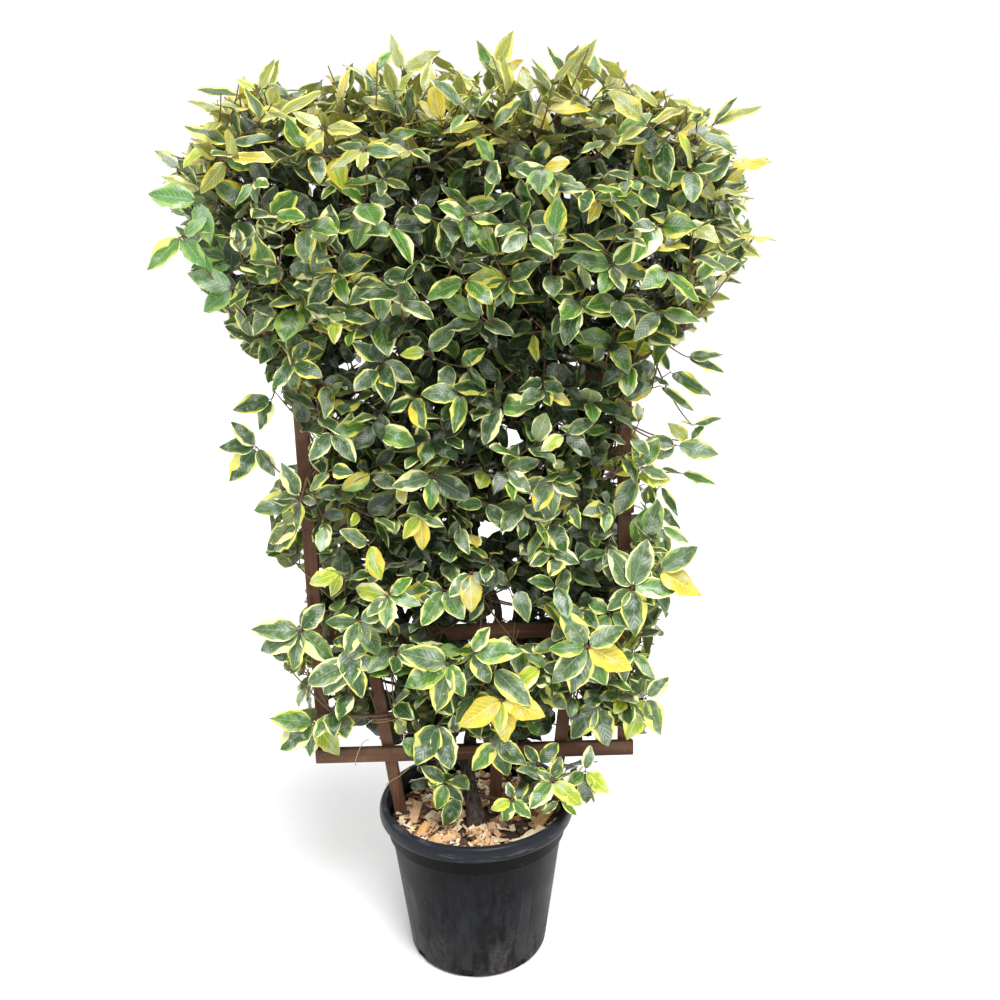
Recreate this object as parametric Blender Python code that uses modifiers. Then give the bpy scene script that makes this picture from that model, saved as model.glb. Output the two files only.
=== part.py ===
# Potted evergreen shrub trained flat on a fan trellis: pot, potting mix, laths, limbs, masses of leaves.
# Metres, +Z up, front towards -Y, origin at the middle of the pot's flat underside.

import math
import random

import bmesh
import bpy
from mathutils import Matrix, Vector
from mathutils.bvhtree import BVHTree

GAP = 0.0003  # between neighbours that touch on the real object
SEED = 7

# Pot
POT_HEIGHT = 0.320
POT_RIM_RADIUS = 0.200
POT_BASE_RADIUS = 0.141
POT_COLLAR_RADIUS = 0.1757  # of the tapering wall where it meets the collar
POT_COLLAR_HEIGHT = 0.252
POT_WALL = 0.0035
POT_FLOOR = 0.004
POT_EDGE = 0.005  # rounding of the bottom edge
COLLAR_OUT = 0.0065  # how far the collar stands out from the wall
RIM_DROP = 0.031  # height of the rolled rim
RIM_ROLL = 0.013  # how far the roll stands out from the collar
RIM_ROUND = 0.006  # rounding of the rim's top
ROUND_STEPS = 36
SLOT_COUNT = 8
SLOT_WIDTH = 0.023
SLOT_HEIGHT = 0.013
SLOT_DEPTH = 0.030
SLOT_TURN = math.radians(-8.4)  # of the slot nearest the front

# Potting mix
SOIL_LEVEL = 0.275
SOIL_BUMP = 0.006
SOIL_RINGS = 5
SOIL_FLAT = 0.085  # level patch round the trunk's foot

# Trellis, in its own leaning plane: across, and up from the middle of the lowest crosspiece
TRELLIS_FOOT = Vector((-0.002, 0.0, 0.420))
TRELLIS_LEAN = math.radians(-0.86)
LATH_THICK = 0.012
UPRIGHT_WIDTH = 0.027
LEG_WIDTH = 0.025
CROSS_WIDTH = 0.031
CROSS_LENGTH = 0.647
CROSS_RISES = (0.0, 0.257, 0.505, 0.748, 0.990)
UPRIGHT_APART = 0.614
LEG_APART = 0.350  # on the lowest crosspiece
LEG_SLOPE = 0.122
STAKE_ACROSS = 0.045
STAKE_SLOPE = 0.045
STAKE_TOP = 0.272  # the centre leg ends at the second crosspiece
LEG_FOOT = -0.190  # how far the legs reach down into the mix
LEG_TOP = 0.790
UPRIGHT_FOOT = -0.016
UPRIGHT_TOP = 1.050
LATH_EDGE = 0.0015

# Trunk and boughs: points from the root to the tip, radius at the root and at the tip
TRUNK_POINTS = (
    (0.002, -0.033, 0.255),
    (-0.003, -0.022, 0.295),
    (-0.014, -0.004, 0.345),
    (-0.017, 0.014, 0.390),
    (-0.006, 0.021, 0.460),
    (0.012, 0.024, 0.540),
    (0.027, 0.026, 0.615),
)
TRUNK_RADII = (0.0175, 0.0085)
FLARE_RADIUS = 0.0215
FLARE_HEIGHT = 0.015
SEAT_REACH = 0.15  # from how far off a bough's seat on the bark is looked for
FORK_CLEAR = 3.2  # a bough follows its own points from this many radii beyond its seat
BOUGHS = {
    "bough_left_outer": {
        "on": "trunk",
        "points": (
            (-0.024, 0.012, 0.385),
            (-0.070, 0.024, 0.430),
            (-0.108, 0.029, 0.530),
            (-0.140, 0.031, 0.680),
            (-0.195, 0.032, 0.850),
            (-0.275, 0.033, 1.060),
            (-0.345, 0.034, 1.260),
            (-0.395, 0.034, 1.440),
        ),
        "radii": (0.0100, 0.0045),
    },
    "bough_left_inner": {
        "on": "bough_left_outer",
        "points": (
            (-0.140, 0.031, 0.680),
            (-0.112, 0.036, 0.760),
            (-0.104, 0.037, 0.920),
            (-0.120, 0.037, 1.130),
            (-0.142, 0.037, 1.330),
            (-0.150, 0.037, 1.490),
        ),
        "radii": (0.0070, 0.0040),
    },
    "bough_centre": {
        "on": "trunk tip",
        "points": (
            (0.027, 0.026, 0.6153),
            (0.050, 0.030, 0.700),
            (0.024, 0.035, 0.785),
            (0.000, 0.036, 0.920),
            (0.004, 0.036, 1.140),
            (0.012, 0.036, 1.350),
            (0.014, 0.036, 1.500),
        ),
        "radii": (0.0080, 0.0040),
    },
    "bough_right_inner": {
        "on": "trunk",
        "points": (
            (0.014, 0.024, 0.550),
            (0.070, 0.033, 0.625),
            (0.090, 0.036, 0.730),
            (0.106, 0.036, 0.920),
            (0.134, 0.036, 1.140),
            (0.162, 0.036, 1.340),
            (0.175, 0.036, 1.490),
        ),
        "radii": (0.0075, 0.0040),
    },
    "bough_right_outer": {
        "on": "trunk",
        "points": (
            (-0.006, 0.021, 0.460),
            (0.060, 0.031, 0.520),
            (0.128, 0.033, 0.610),
            (0.196, 0.034, 0.790),
            (0.262, 0.034, 1.010),
            (0.334, 0.034, 1.240),
            (0.388, 0.034, 1.430),
        ),
        "radii": (0.0095, 0.0045),
    },
}

# Crown outline: height, half width, reach to the front, reach to the back
CROWN = (
    (0.420, 0.370, 0.120, 0.130),
    (0.620, 0.410, 0.145, 0.150),
    (0.980, 0.420, 0.150, 0.160),
    (1.200, 0.455, 0.185, 0.185),
    (1.430, 0.575, 0.265, 0.245),
    (1.570, 0.550, 0.265, 0.245),
    (1.670, 0.500, 0.230, 0.220),
    (1.770, 0.270, 0.130, 0.130),
)
CROWN_SQUARE = 4  # exponent of the outline seen from above: 2 is an ellipse, more is squarer
FRONT_ROWS = ((0.545, 3), (0.775, 3), (1.015, 3), (1.275, 4), (1.585, 4))
BACK_ROWS = ((0.570, 2), (0.830, 2), (1.080, 2), (1.335, 3), (1.600, 3))
LAYER_OUT = 0.52  # how far out a mass's middle lies, as a share of the reach
ROW_SHIFT = 0.030  # alternate rows step sideways by this
SPRAYS = {
    "foliage_rim_right": {"middle": (0.150, -0.075, 0.365), "reach": (0.125, 0.100, 0.095)},
    "foliage_low_left": {"middle": (-0.085, -0.050, 0.375), "reach": (0.075, 0.060, 0.080)},
}

# Leaves and twigs
LEAF_LENGTH = 0.132
LEAF_WIDTH = 0.078
LEAF_THICK = 0.0026
LEAF_KEEL = 0.10  # how far the two halves fold up, as a share of the width
LEAF_DROOP = 0.06  # of the tip, as a share of the length
LEAF_WIDEST = 0.46
LEAF_SIZES = (1.0, 0.86, 0.72, 0.60)  # tried in turn where the space is tight
LEAVES_A_SHOOT = 5
LEAF_TURN = math.radians(137.5)
TIP_SPREAD = math.radians(20)  # between the shoot and its end leaf
SIDE_SPREAD = math.radians(66)  # between the shoot and the next leaf
SPREAD_STEP = math.radians(8)  # more for each leaf further down
LEAF_ROW = 0.5  # share of the shoot that carries the leaves
LEAF_SUNK = 0.03  # share of the shoot by which a leaf's root lies short of its place
FACE_JITTER = 0.35
SHOOTS = 3
SHOOT_FIRST = 0.35  # share of the stem's last length below the first shoot
SHOOT_ROW = 0.6  # share of it that carries the shoots
SHOOT_SHORTEST = 0.03
SHOOT_RADII = (0.0032, 0.0018)
AIM_SPREAD = (0.26, 0.16, 0.24)
AIM_COUNT = 260
AIM_INSIDE = 0.02
AIM_PULL = 0.28  # how far the aims are drawn in towards the middle
STEM_RADII = (0.0045, 0.0036)
STEM_KNEE = 0.014  # a stem leaves its limb square over this length
STEM_APART = 0.02
STEM_BEND = 0.55
HUB_OUT = 0.55  # how far out a stem heads before it turns to the mass's middle
CLEAR = 0.0025  # kept between a mass and what it doesn't grow from
TRIES = 9
TRY_TURN = 0.7
TRIAL_THICK = 3.0  # a leaf is tried out thicker and larger than it is
TRIAL_GROW = 1.04


def empty_scene():
    for old in list(bpy.data.objects):
        bpy.data.objects.remove(old, do_unlink=True)


def make_collection(name):
    collection = bpy.data.collections.new(name)
    bpy.context.scene.collection.children.link(collection)
    return collection


def make_material(name, color, roughness):
    material = bpy.data.materials.new(name)
    material.use_nodes = True
    shader = material.node_tree.nodes["Principled BSDF"]
    shader.inputs["Base Color"].default_value = (*color, 1.0)
    shader.inputs["Roughness"].default_value = roughness
    return material


def make_materials():
    return {
        "pot": make_material("pot_plastic", (0.030, 0.033, 0.037), 0.50),
        "mix": make_material("bark_mulch", (0.420, 0.250, 0.120), 0.95),
        "lath": make_material("stained_lath", (0.130, 0.050, 0.028), 0.70),
        "bark": make_material("grey_bark", (0.130, 0.105, 0.085), 0.90),
        "leaf": make_material("variegated_leaf", (0.090, 0.190, 0.070), 0.45),
    }


def add_object(name, mesh, collection, material=None):
    obj = bpy.data.objects.new(name, mesh)
    collection.objects.link(obj)
    if material:
        mesh.materials.clear()
        mesh.materials.append(material)
    return obj


def mesh_from(bm, name):
    mesh = bpy.data.meshes.new(name)
    bm.to_mesh(mesh)
    bm.free()
    return mesh


def applied(obj):
    """Replaces an object's data by its evaluated mesh, with no modifiers left."""
    bpy.context.view_layer.update()
    evaluated = obj.evaluated_get(bpy.context.evaluated_depsgraph_get())
    mesh = bpy.data.meshes.new_from_object(evaluated)
    obj.modifiers.clear()
    obj.data = mesh
    return obj


def cut_away(obj, cutter):
    modifier = obj.modifiers.new("cut", "BOOLEAN")
    modifier.operation = "DIFFERENCE"
    modifier.object = cutter
    modifier.solver = "EXACT"


def as_cutter(obj):
    obj.hide_render = True
    obj.display_type = "WIRE"


# Pot and mix


def wall_radius(height):
    """Outer radius of the straight tapering wall."""
    share = height / POT_COLLAR_HEIGHT
    return POT_BASE_RADIUS + (POT_COLLAR_RADIUS - POT_BASE_RADIUS) * share


def pot_profile():
    """From the inside of the floor up the inner wall, round the rim and down to the underside."""
    collar = POT_COLLAR_RADIUS + COLLAR_OUT
    inner_top = wall_radius(POT_HEIGHT) - POT_WALL
    roll = POT_RIM_RADIUS
    rim_foot = POT_HEIGHT - RIM_DROP
    return (
        (0.0, POT_FLOOR),
        (wall_radius(POT_FLOOR) - POT_WALL, POT_FLOOR),
        (wall_radius(SOIL_LEVEL) - POT_WALL, SOIL_LEVEL),
        (inner_top, POT_HEIGHT - RIM_ROUND),
        (inner_top + RIM_ROUND / 2, POT_HEIGHT),
        (roll - RIM_ROUND, POT_HEIGHT),
        (roll - RIM_ROUND / 6, POT_HEIGHT - RIM_ROUND * 5 / 6),
        (roll, POT_HEIGHT - 2 * RIM_ROUND),
        (roll - RIM_ROUND / 3, rim_foot + RIM_ROUND / 2),
        (roll - RIM_ROLL + COLLAR_OUT, rim_foot),
        (collar + RIM_ROUND / 4, rim_foot - RIM_ROUND / 3),
        (collar, POT_COLLAR_HEIGHT + COLLAR_OUT),
        (POT_COLLAR_RADIUS, POT_COLLAR_HEIGHT),
        (wall_radius(POT_EDGE), POT_EDGE),
        (POT_BASE_RADIUS - POT_EDGE, 0.0),
        (0.0, 0.0),
    )


def turned(name, profile, collection, material):
    """A profile of (radius, height) turned round the upright axis."""
    bm = bmesh.new()
    verts = [bm.verts.new((radius, 0.0, height)) for radius, height in profile]
    for first, second in zip(verts, verts[1:]):
        bm.edges.new((first, second))
    obj = add_object(name, mesh_from(bm, name), collection, material)
    screw = obj.modifiers.new("turn", "SCREW")
    screw.steps = ROUND_STEPS
    screw.render_steps = ROUND_STEPS
    screw.use_merge_vertices = True
    screw.merge_threshold = 0.0001
    screw.use_smooth_shade = True
    return applied(obj)


def box(name, size, matrix, collection, material=None, edge=0.0):
    bm = bmesh.new()
    bmesh.ops.create_cube(bm, size=1.0)
    bmesh.ops.scale(bm, vec=size, verts=bm.verts)
    if edge:
        edges = bm.edges[:]
        bmesh.ops.bevel(bm, geom=edges, offset=edge, segments=1, profile=0.5, affect="EDGES", material=-1)
    bmesh.ops.transform(bm, matrix=matrix, verts=bm.verts)
    return add_object(name, mesh_from(bm, name), collection, material)


def make_pot(parts, cutters, materials):
    pot = turned("pot", pot_profile(), parts, materials["pot"])
    for index in range(SLOT_COUNT):
        turn = Matrix.Rotation(SLOT_TURN + index * math.tau / SLOT_COUNT, 4, "Z")
        place = Matrix.Translation((0.0, -POT_BASE_RADIUS + SLOT_DEPTH / 4, SLOT_HEIGHT / 2 + POT_EDGE / 2))
        cutter = box(f"slot_{index + 1}", (SLOT_WIDTH, SLOT_DEPTH, SLOT_HEIGHT), turn @ place, cutters)
        as_cutter(cutter)
        cut_away(pot, cutter)
    return applied(pot)


def make_mix(parts, cutters, materials, legs):
    """Fills the pot to the soil level, with a rough top and a socket round each leg."""
    floor = POT_FLOOR + GAP
    top_radius = wall_radius(SOIL_LEVEL) - POT_WALL - GAP
    profile = [(top_radius * ring / SOIL_RINGS, SOIL_LEVEL) for ring in range(SOIL_RINGS + 1)]
    profile += [(wall_radius(floor) - POT_WALL - 2 * GAP, floor), (0.0, floor)]
    mix = turned("potting_mix", profile, parts, materials["mix"])
    rng = random.Random(SEED)
    foot = Vector(TRUNK_POINTS[1]).xy
    for vert in mix.data.vertices:
        bump = rng.uniform(-SOIL_BUMP, SOIL_BUMP)
        at_top = vert.co.z > SOIL_LEVEL - GAP
        if at_top and vert.co.xy.length < top_radius - SOIL_BUMP and (vert.co.xy - foot).length > SOIL_FLAT:
            vert.co.z += bump
    for leg in legs:
        sheath = leg_box(f"socket_{leg}", leg, cutters, None, GAP)
        as_cutter(sheath)
        cut_away(mix, sheath)
    return applied(mix)


# Trellis


def trellis_matrix(across, rise, depth, slope=0.0):
    """Place in the leaning plane of the trellis; slope leans a lath further to the right."""
    lean = Matrix.Rotation(TRELLIS_LEAN, 4, "Y")
    turn = Matrix.Rotation(math.atan(slope), 4, "Y")
    return Matrix.Translation(TRELLIS_FOOT) @ lean @ Matrix.Translation((across, depth, rise)) @ turn


LEGS = {
    "leg_left": (-LEG_APART / 2, -LEG_SLOPE, LEG_TOP),
    "leg_centre": (STAKE_ACROSS, STAKE_SLOPE, STAKE_TOP),
    "leg_right": (LEG_APART / 2, LEG_SLOPE, LEG_TOP),
}


def leg_box(name, leg, collection, material, margin=0.0):
    across, slope, top = LEGS[leg]
    middle = (top + LEG_FOOT) / 2
    size = (LEG_WIDTH + 2 * margin, LATH_THICK + 2 * margin, top - LEG_FOOT + 2 * margin)
    matrix = trellis_matrix(across + slope * middle, middle, LATH_THICK / 2, slope)
    return box(name, size, matrix, collection, material, 0.0 if margin else LATH_EDGE)


def make_trellis(parts, materials):
    wood = materials["lath"]
    laths = [leg_box(leg, leg, parts, wood) for leg in LEGS]
    middle = (UPRIGHT_TOP + UPRIGHT_FOOT) / 2
    size = (UPRIGHT_WIDTH, LATH_THICK, UPRIGHT_TOP - UPRIGHT_FOOT)
    for name, side in (("upright_left", -1), ("upright_right", 1)):
        matrix = trellis_matrix(side * UPRIGHT_APART / 2, middle, LATH_THICK / 2)
        laths.append(box(name, size, matrix, parts, wood, LATH_EDGE))
    size = (CROSS_LENGTH, LATH_THICK, CROSS_WIDTH)
    for index, rise in enumerate(CROSS_RISES):
        matrix = trellis_matrix(0.0, rise, -LATH_THICK / 2 - GAP)
        laths.append(box(f"crosspiece_{index + 1}", size, matrix, parts, wood, LATH_EDGE))
    return laths


# Trunk and boughs


def smooth_path(points, spans=3):
    """Points along a smooth curve through the given ones."""
    points = [Vector(point) for point in points]
    ends = [2 * points[0] - points[1], *points, 2 * points[-1] - points[-2]]
    path = []
    for before, start, end, after in zip(ends, ends[1:], ends[2:], ends[3:]):
        for step in range(spans):
            t = step / spans
            path.append(
                0.5
                * (
                    2 * start
                    + (end - before) * t
                    + (2 * before - 5 * start + 4 * end - after) * t**2
                    + (3 * start - before - 3 * end + after) * t**3
                )
            )
    return [*path, points[-1]]


def tree_of(obj_or_mesh):
    mesh = getattr(obj_or_mesh, "data", obj_or_mesh)
    return BVHTree.FromPolygons([v.co for v in mesh.vertices], [p.vertices[:] for p in mesh.polygons])


def limb(name, path, radii, resolution, collection, material):
    """A tapering limb along a path, as a closed mesh."""
    data = bpy.data.curves.new(name, "CURVE")
    data.dimensions = "3D"
    data.bevel_depth = 1.0
    data.bevel_resolution = resolution
    data.use_fill_caps = True
    spline = data.splines.new("POLY")
    spline.points.add(len(path) - 1)
    for point, place, radius in zip(spline.points, path, radii):
        point.co = (*place, 1.0)
        point.radius = radius
    curve = bpy.data.objects.new(name + "_line", data)
    collection.objects.link(curve)
    bpy.context.view_layer.update()
    mesh = bpy.data.meshes.new_from_object(curve.evaluated_get(bpy.context.evaluated_depsgraph_get()))
    bpy.data.objects.remove(curve)
    bm = bmesh.new()
    bm.from_mesh(mesh)
    bmesh.ops.remove_doubles(bm, verts=bm.verts, dist=0.00001)
    bmesh.ops.recalc_face_normals(bm, faces=bm.faces)
    bm.to_mesh(mesh)
    bm.free()
    obj = add_object(name, mesh, collection, material)
    mesh.shade_smooth()
    mesh.set_sharp_from_angle(angle=math.radians(60))
    return obj


def taper(path, radii):
    last = len(path) - 1
    return [radii[0] + (radii[1] - radii[0]) * index / last for index in range(last + 1)]


def make_trunk(parts, materials):
    """Flared at its foot, which is cut level where it leaves the mix."""
    path = smooth_path(TRUNK_POINTS)
    radii = taper(path, TRUNK_RADII)
    for index, point in enumerate(path):
        rise = max(point.z - SOIL_LEVEL, 0.0)
        radii[index] += (FLARE_RADIUS - TRUNK_RADII[0]) * math.exp(-rise / FLARE_HEIGHT)
    trunk = limb("trunk", path, radii, 3, parts, materials["bark"])
    bm = bmesh.new()
    bm.from_mesh(trunk.data)
    level = (0.0, 0.0, SOIL_LEVEL + GAP)
    geom = bm.verts[:] + bm.edges[:] + bm.faces[:]
    bmesh.ops.bisect_plane(bm, geom=geom, plane_co=level, plane_no=(0, 0, 1), clear_inner=True)
    bmesh.ops.holes_fill(bm, edges=[edge for edge in bm.edges if edge.is_boundary])
    bmesh.ops.recalc_face_normals(bm, faces=bm.faces)
    bm.to_mesh(trunk.data)
    bm.free()
    return trunk


def seat_on(tree, inside, direction):
    """Where a ray towards a limb's axis meets its bark, and the bark's own direction there."""
    hit, normal, _, _ = tree.ray_cast(inside + direction * SEAT_REACH, -direction, SEAT_REACH)
    return hit, normal


def make_boughs(parts, materials, trunk):
    limbs = {"trunk": trunk}
    for name, bough in BOUGHS.items():
        path = smooth_path(bough["points"], 2)
        radii = taper(path, bough["radii"])
        way = path[2] - path[0]
        if bough["on"] == "trunk tip":
            trunk_path = smooth_path(TRUNK_POINTS)
            normal = (trunk_path[-1] - trunk_path[-2]).normalized()
            hit = trunk_path[-1]
        else:
            side = Vector((way.x, 0.0, way.z)).normalized()
            hit, normal = seat_on(tree_of(limbs[bough["on"]]), path[0], side)
        foot = hit + normal * GAP
        knee = foot + normal * radii[0]
        clear = FORK_CLEAR * radii[0]
        beyond = [point for point in path if (point - foot).length > clear and (point - foot).dot(way) > 0]
        path = [foot, knee, *beyond]
        radii = [radii[0], *taper(path[1:], bough["radii"])]
        limbs[name] = limb(name, path, radii, 1, parts, materials["bark"])
    return limbs


# Crown


def reaches(height):
    """Half width, reach to the front and reach to the back of the crown at a height."""
    if height <= CROWN[0][0]:
        return CROWN[0][1:]
    for low, high in zip(CROWN, CROWN[1:]):
        if height <= high[0]:
            share = (height - low[0]) / (high[0] - low[0])
            return tuple(a + (b - a) * share for a, b in zip(low[1:], high[1:]))
    return CROWN[-1][1:]


def crown_level(point):
    """Under 1 inside the crown's outline, 1 on it."""
    if not CROWN[0][0] < point.z < CROWN[-1][0]:
        return 2.0
    wide, front, back = reaches(point.z)
    deep = front if point.y < 0 else back
    return abs(point.x / wide) ** CROWN_SQUARE + abs(point.y / deep) ** CROWN_SQUARE


def spray_level(point, spray):
    middle, reach = Vector(spray["middle"]), spray["reach"]
    return sum((abs(point[axis] - middle[axis]) / reach[axis]) ** 2 for axis in range(3))


def mass_middles():
    """One named middle for each mass, in rows in front of the trellis and behind it."""
    middles = {}
    for layer, rows in (("front", FRONT_ROWS), ("back", BACK_ROWS)):
        for row, (height, count) in enumerate(rows):
            wide, front, back = reaches(height)
            deep = -front if layer == "front" else back
            shift = ROW_SHIFT * (0.5 if row % 2 else -0.5)
            for column in range(count):
                across = wide * ((2 * column + 1) / count - 1) + shift
                name = f"foliage_{layer}_{row + 1}_{column + 1}"
                middles[name] = Vector((across, deep * LAYER_OUT, height))
    for name, spray in SPRAYS.items():
        middles[name] = Vector(spray["middle"])
    return middles


class Space:
    """What one mass may fill: nearer its own middle than any other, and inside the crown's outline."""

    def __init__(self, name, middles):
        self.middle = middles[name]
        self.others = [middle for other, middle in middles.items() if other != name]
        self.spray = SPRAYS.get(name)

    def level(self, point):
        return spray_level(point, self.spray) if self.spray else crown_level(point)

    def holds(self, point):
        if self.level(point) > 1.0:
            return False
        for other in self.others:
            way = other - self.middle
            if (point - (self.middle + other) / 2).dot(way) > -CLEAR / 2 * way.length:
                return False
        return True

    def holds_all(self, points):
        return all(self.holds(point) for point in points)

    def outward(self, point):
        """Uphill direction of the outline's level at a point."""
        step = 0.01
        level = self.level(point)
        axes = ((1, 0, 0), (0, 1, 0), (0, 0, 1))
        slope = [self.level(point + Vector(axis) * step) - level for axis in axes]
        slope = Vector(max(-1.0, min(1.0, value / step / 8)) for value in slope)
        side = Vector((0.0, -1.0 if self.middle.y < 0 else 1.0, 0.35))
        return (slope + side).normalized()

    def aims(self, count, rng):
        """Shoot tips spread through the space, drawn in so that their leaves keep inside it."""
        found = []
        while len(found) < AIM_COUNT:
            point = self.middle + Vector(rng.uniform(-1, 1) * AIM_SPREAD[axis] for axis in range(3))
            if self.holds(point) and self.holds(point - self.outward(point) * AIM_INSIDE):
                found.append(point)
        chosen = [min(found, key=lambda point: (point - self.middle).length)]
        while len(chosen) < count:
            chosen.append(max(found, key=lambda point: min((point - other).length for other in chosen)))
        return [point.lerp(self.middle, AIM_PULL) for point in chosen]


def ring_frame(place, way):
    return Matrix.Translation(place) @ way.to_track_quat("Z", "Y").to_matrix().to_4x4()


def three_sided(path, radii):
    """A three-sided tapering twig, extruded ring by ring from its first cap."""
    bm = bmesh.new()
    ways = [(path[min(i + 1, len(path) - 1)] - path[max(i - 1, 0)]).normalized() for i in range(len(path))]
    ways[0] = (path[1] - path[0]).normalized()
    frame = ring_frame(path[0], ways[0])
    bmesh.ops.create_circle(bm, cap_ends=True, segments=3, radius=radii[0], matrix=frame)
    cap = next(iter(bm.faces))
    for index in range(1, len(path)):
        grown = bmesh.ops.extrude_face_region(bm, geom=[cap])
        if index > 1:
            bmesh.ops.delete(bm, geom=[cap], context="FACES_ONLY")
        cap = next(item for item in grown["geom"] if isinstance(item, bmesh.types.BMFace))
        turn = ways[index - 1].rotation_difference(ways[index]).to_matrix()
        size = radii[index] / radii[index - 1]
        for vert in cap.verts:
            vert.co = path[index] + turn @ (vert.co - path[index - 1]) * size
    bmesh.ops.recalc_face_normals(bm, faces=bm.faces)
    return mesh_from(bm, "twig")


def leaf_mesh(size, thick=1.0, grow=1.0):
    """A leaf of eight faces with its root at the origin and its tip along +X, folded up along its rib."""
    bm = bmesh.new()
    bmesh.ops.create_uvsphere(bm, u_segments=4, v_segments=2, radius=1.0)
    length, width = LEAF_LENGTH * size * grow, LEAF_WIDTH * size * grow
    for vert in bm.verts:
        x, y, z = vert.co
        along = length if x > 0.5 else 0.0 if x < -0.5 else length * LEAF_WIDEST
        up = z * LEAF_THICK * thick / 2 + abs(y) * LEAF_KEEL * width
        if x > 0.5:
            up -= LEAF_DROOP * length
        vert.co = (along, y * width / 2, up)
    return mesh_from(bm, "leaf")


def leaf_frame(root, way, face):
    """Root at a place, rib along a direction, upper side turned towards another."""
    across = face.cross(way).normalized()
    up = way.cross(across).normalized()
    turn = Matrix((way, across, up)).transposed()
    return Matrix.Translation(root) @ turn.to_4x4()


def placed(mesh, matrix):
    mesh.transform(matrix)
    return mesh


def corners(mesh):
    return [vert.co.copy() for vert in mesh.vertices]


def make_stems(limbs, laths, pot, mix, middles):
    """A stem for each mass, from the nearest limb that it can leave without touching anything."""
    fixed = [(obj.name, tree_of(obj)) for obj in [*limbs.values(), *laths, pot, mix]]
    trees = {name: tree_of(obj) for name, obj in limbs.items()}
    paths = {"trunk": smooth_path(TRUNK_POINTS)[4:]}
    for name, bough in BOUGHS.items():
        paths[name] = smooth_path(bough["points"])[3:]
    stems = {}
    for name, middle in middles.items():
        hub = middle.copy()
        hub.y *= HUB_OUT
        tries = []
        for limb_name, path in paths.items():
            if name in SPRAYS and limb_name != "trunk":
                continue
            tries += [((point - hub).length, limb_name, point) for point in path]
            tip = path[-1]
            tries.append(((tip - hub).length, limb_name + " tip", tip))
        for _, limb_name, point in sorted(tries, key=lambda entry: entry[0]):
            stem = try_stem(name, limb_name, point, hub, middle, trees, paths, fixed, stems)
            if stem:
                stems[name] = stem
                break
    return stems


def try_stem(name, limb_name, point, hub, middle, trees, paths, fixed, stems):
    if limb_name.endswith(" tip"):
        limb_name = limb_name[:-4]
        path = paths[limb_name]
        if limb_name == "trunk":
            return None
        normal = (path[-1] - path[-2]).normalized()
        foot = path[-1] + normal * GAP
    else:
        side = hub - point
        side.z = 0.0
        if side.length < 0.005:
            return None
        side.normalize()
        foot, normal = seat_on(trees[limb_name], point, side)
        if foot is None:
            return None
        foot = foot + normal * GAP
    if (hub - foot).dot(normal) < STEM_KNEE:
        return None
    knee = foot + normal * STEM_KNEE
    path = [foot, knee, knee.lerp(hub, STEM_BEND), hub.lerp(middle, 0.5)]
    thin = three_sided(path, [STEM_RADII[0], STEM_RADII[0], STEM_RADII[0], STEM_RADII[1]])
    wide = three_sided(path[1:], [STEM_RADII[0] + CLEAR] * 3)
    thin_tree, wide_tree = tree_of(thin), tree_of(wide)
    for other, tree in fixed:
        test = thin_tree if other == limb_name else wide_tree
        if test.overlap(tree) or thin_tree.overlap(tree):
            return None
    for other in stems.values():
        if wide_tree.overlap(other["wide"]) or (other["path"][0] - foot).length < STEM_APART:
            return None
    return {"path": path, "mesh": thin, "wide": wide_tree}


def whorl(path, count, rng):
    """Root and direction of each leaf of a shoot: the first carries on from its tip, the rest go round."""
    way = (path[1] - path[0]).normalized()
    side = way.orthogonal().normalized()
    turn = rng.uniform(0, math.tau)
    leaves = []
    for index in range(count):
        root = path[0].lerp(path[1], 1.0 - LEAF_SUNK - LEAF_ROW * index / count)
        spread = SIDE_SPREAD + SPREAD_STEP * (index - 1) if index else TIP_SPREAD
        around = Matrix.Rotation(turn + index * LEAF_TURN, 3, way) @ side
        leaves.append((root, way * math.cos(spread) + around * math.sin(spread)))
    return leaves


def make_mass(name, stem, space, blocked, parts, materials):
    rng = random.Random(f"{SEED} {name}")
    spare = make_collection(f"{name}_pieces")
    pieces = [tree_of(stem["mesh"])]
    base = add_object(name, stem["mesh"], parts, materials["leaf"])
    path = stem["path"]
    for index, aim in enumerate(space.aims(SHOOTS, rng)):
        root = path[-2].lerp(path[-1], SHOOT_FIRST + SHOOT_ROW * index / SHOOTS)
        length = max((aim - root).length, SHOOT_SHORTEST)
        tip = root + (aim - root).normalized() * length
        twig = three_sided([root, tip], SHOOT_RADII)
        own = tree_of(twig)
        if not space.holds_all(corners(twig)[3:]) or any(own.overlap(tree) for tree in blocked[name]):
            continue
        add_object(f"{name}_shoot_{index}", twig, spare)
        grown = []
        for leaf_root, way in whorl((root, tip), LEAVES_A_SHOOT, rng):
            jitter = Vector(rng.uniform(-FACE_JITTER, FACE_JITTER) for _ in range(3))
            face = (space.outward(tip) + jitter).normalized()
            others = pieces + grown
            found = fit_leaf(leaf_root, way, (tip - root).normalized(), face, space, blocked[name], others)
            if found:
                add_object(f"{name}_leaf", found[0], spare)
                grown.append(found[1])
        pieces += [own, *grown]
    union = base.modifiers.new("join", "BOOLEAN")
    union.operation = "UNION"
    union.operand_type = "COLLECTION"
    union.collection = spare
    applied(base)
    for piece in list(spare.objects):
        bpy.data.objects.remove(piece, do_unlink=True)
    bpy.data.collections.remove(spare)
    keep_largest(base.data)
    base.data.materials.clear()
    base.data.materials.append(materials["leaf"])


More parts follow.
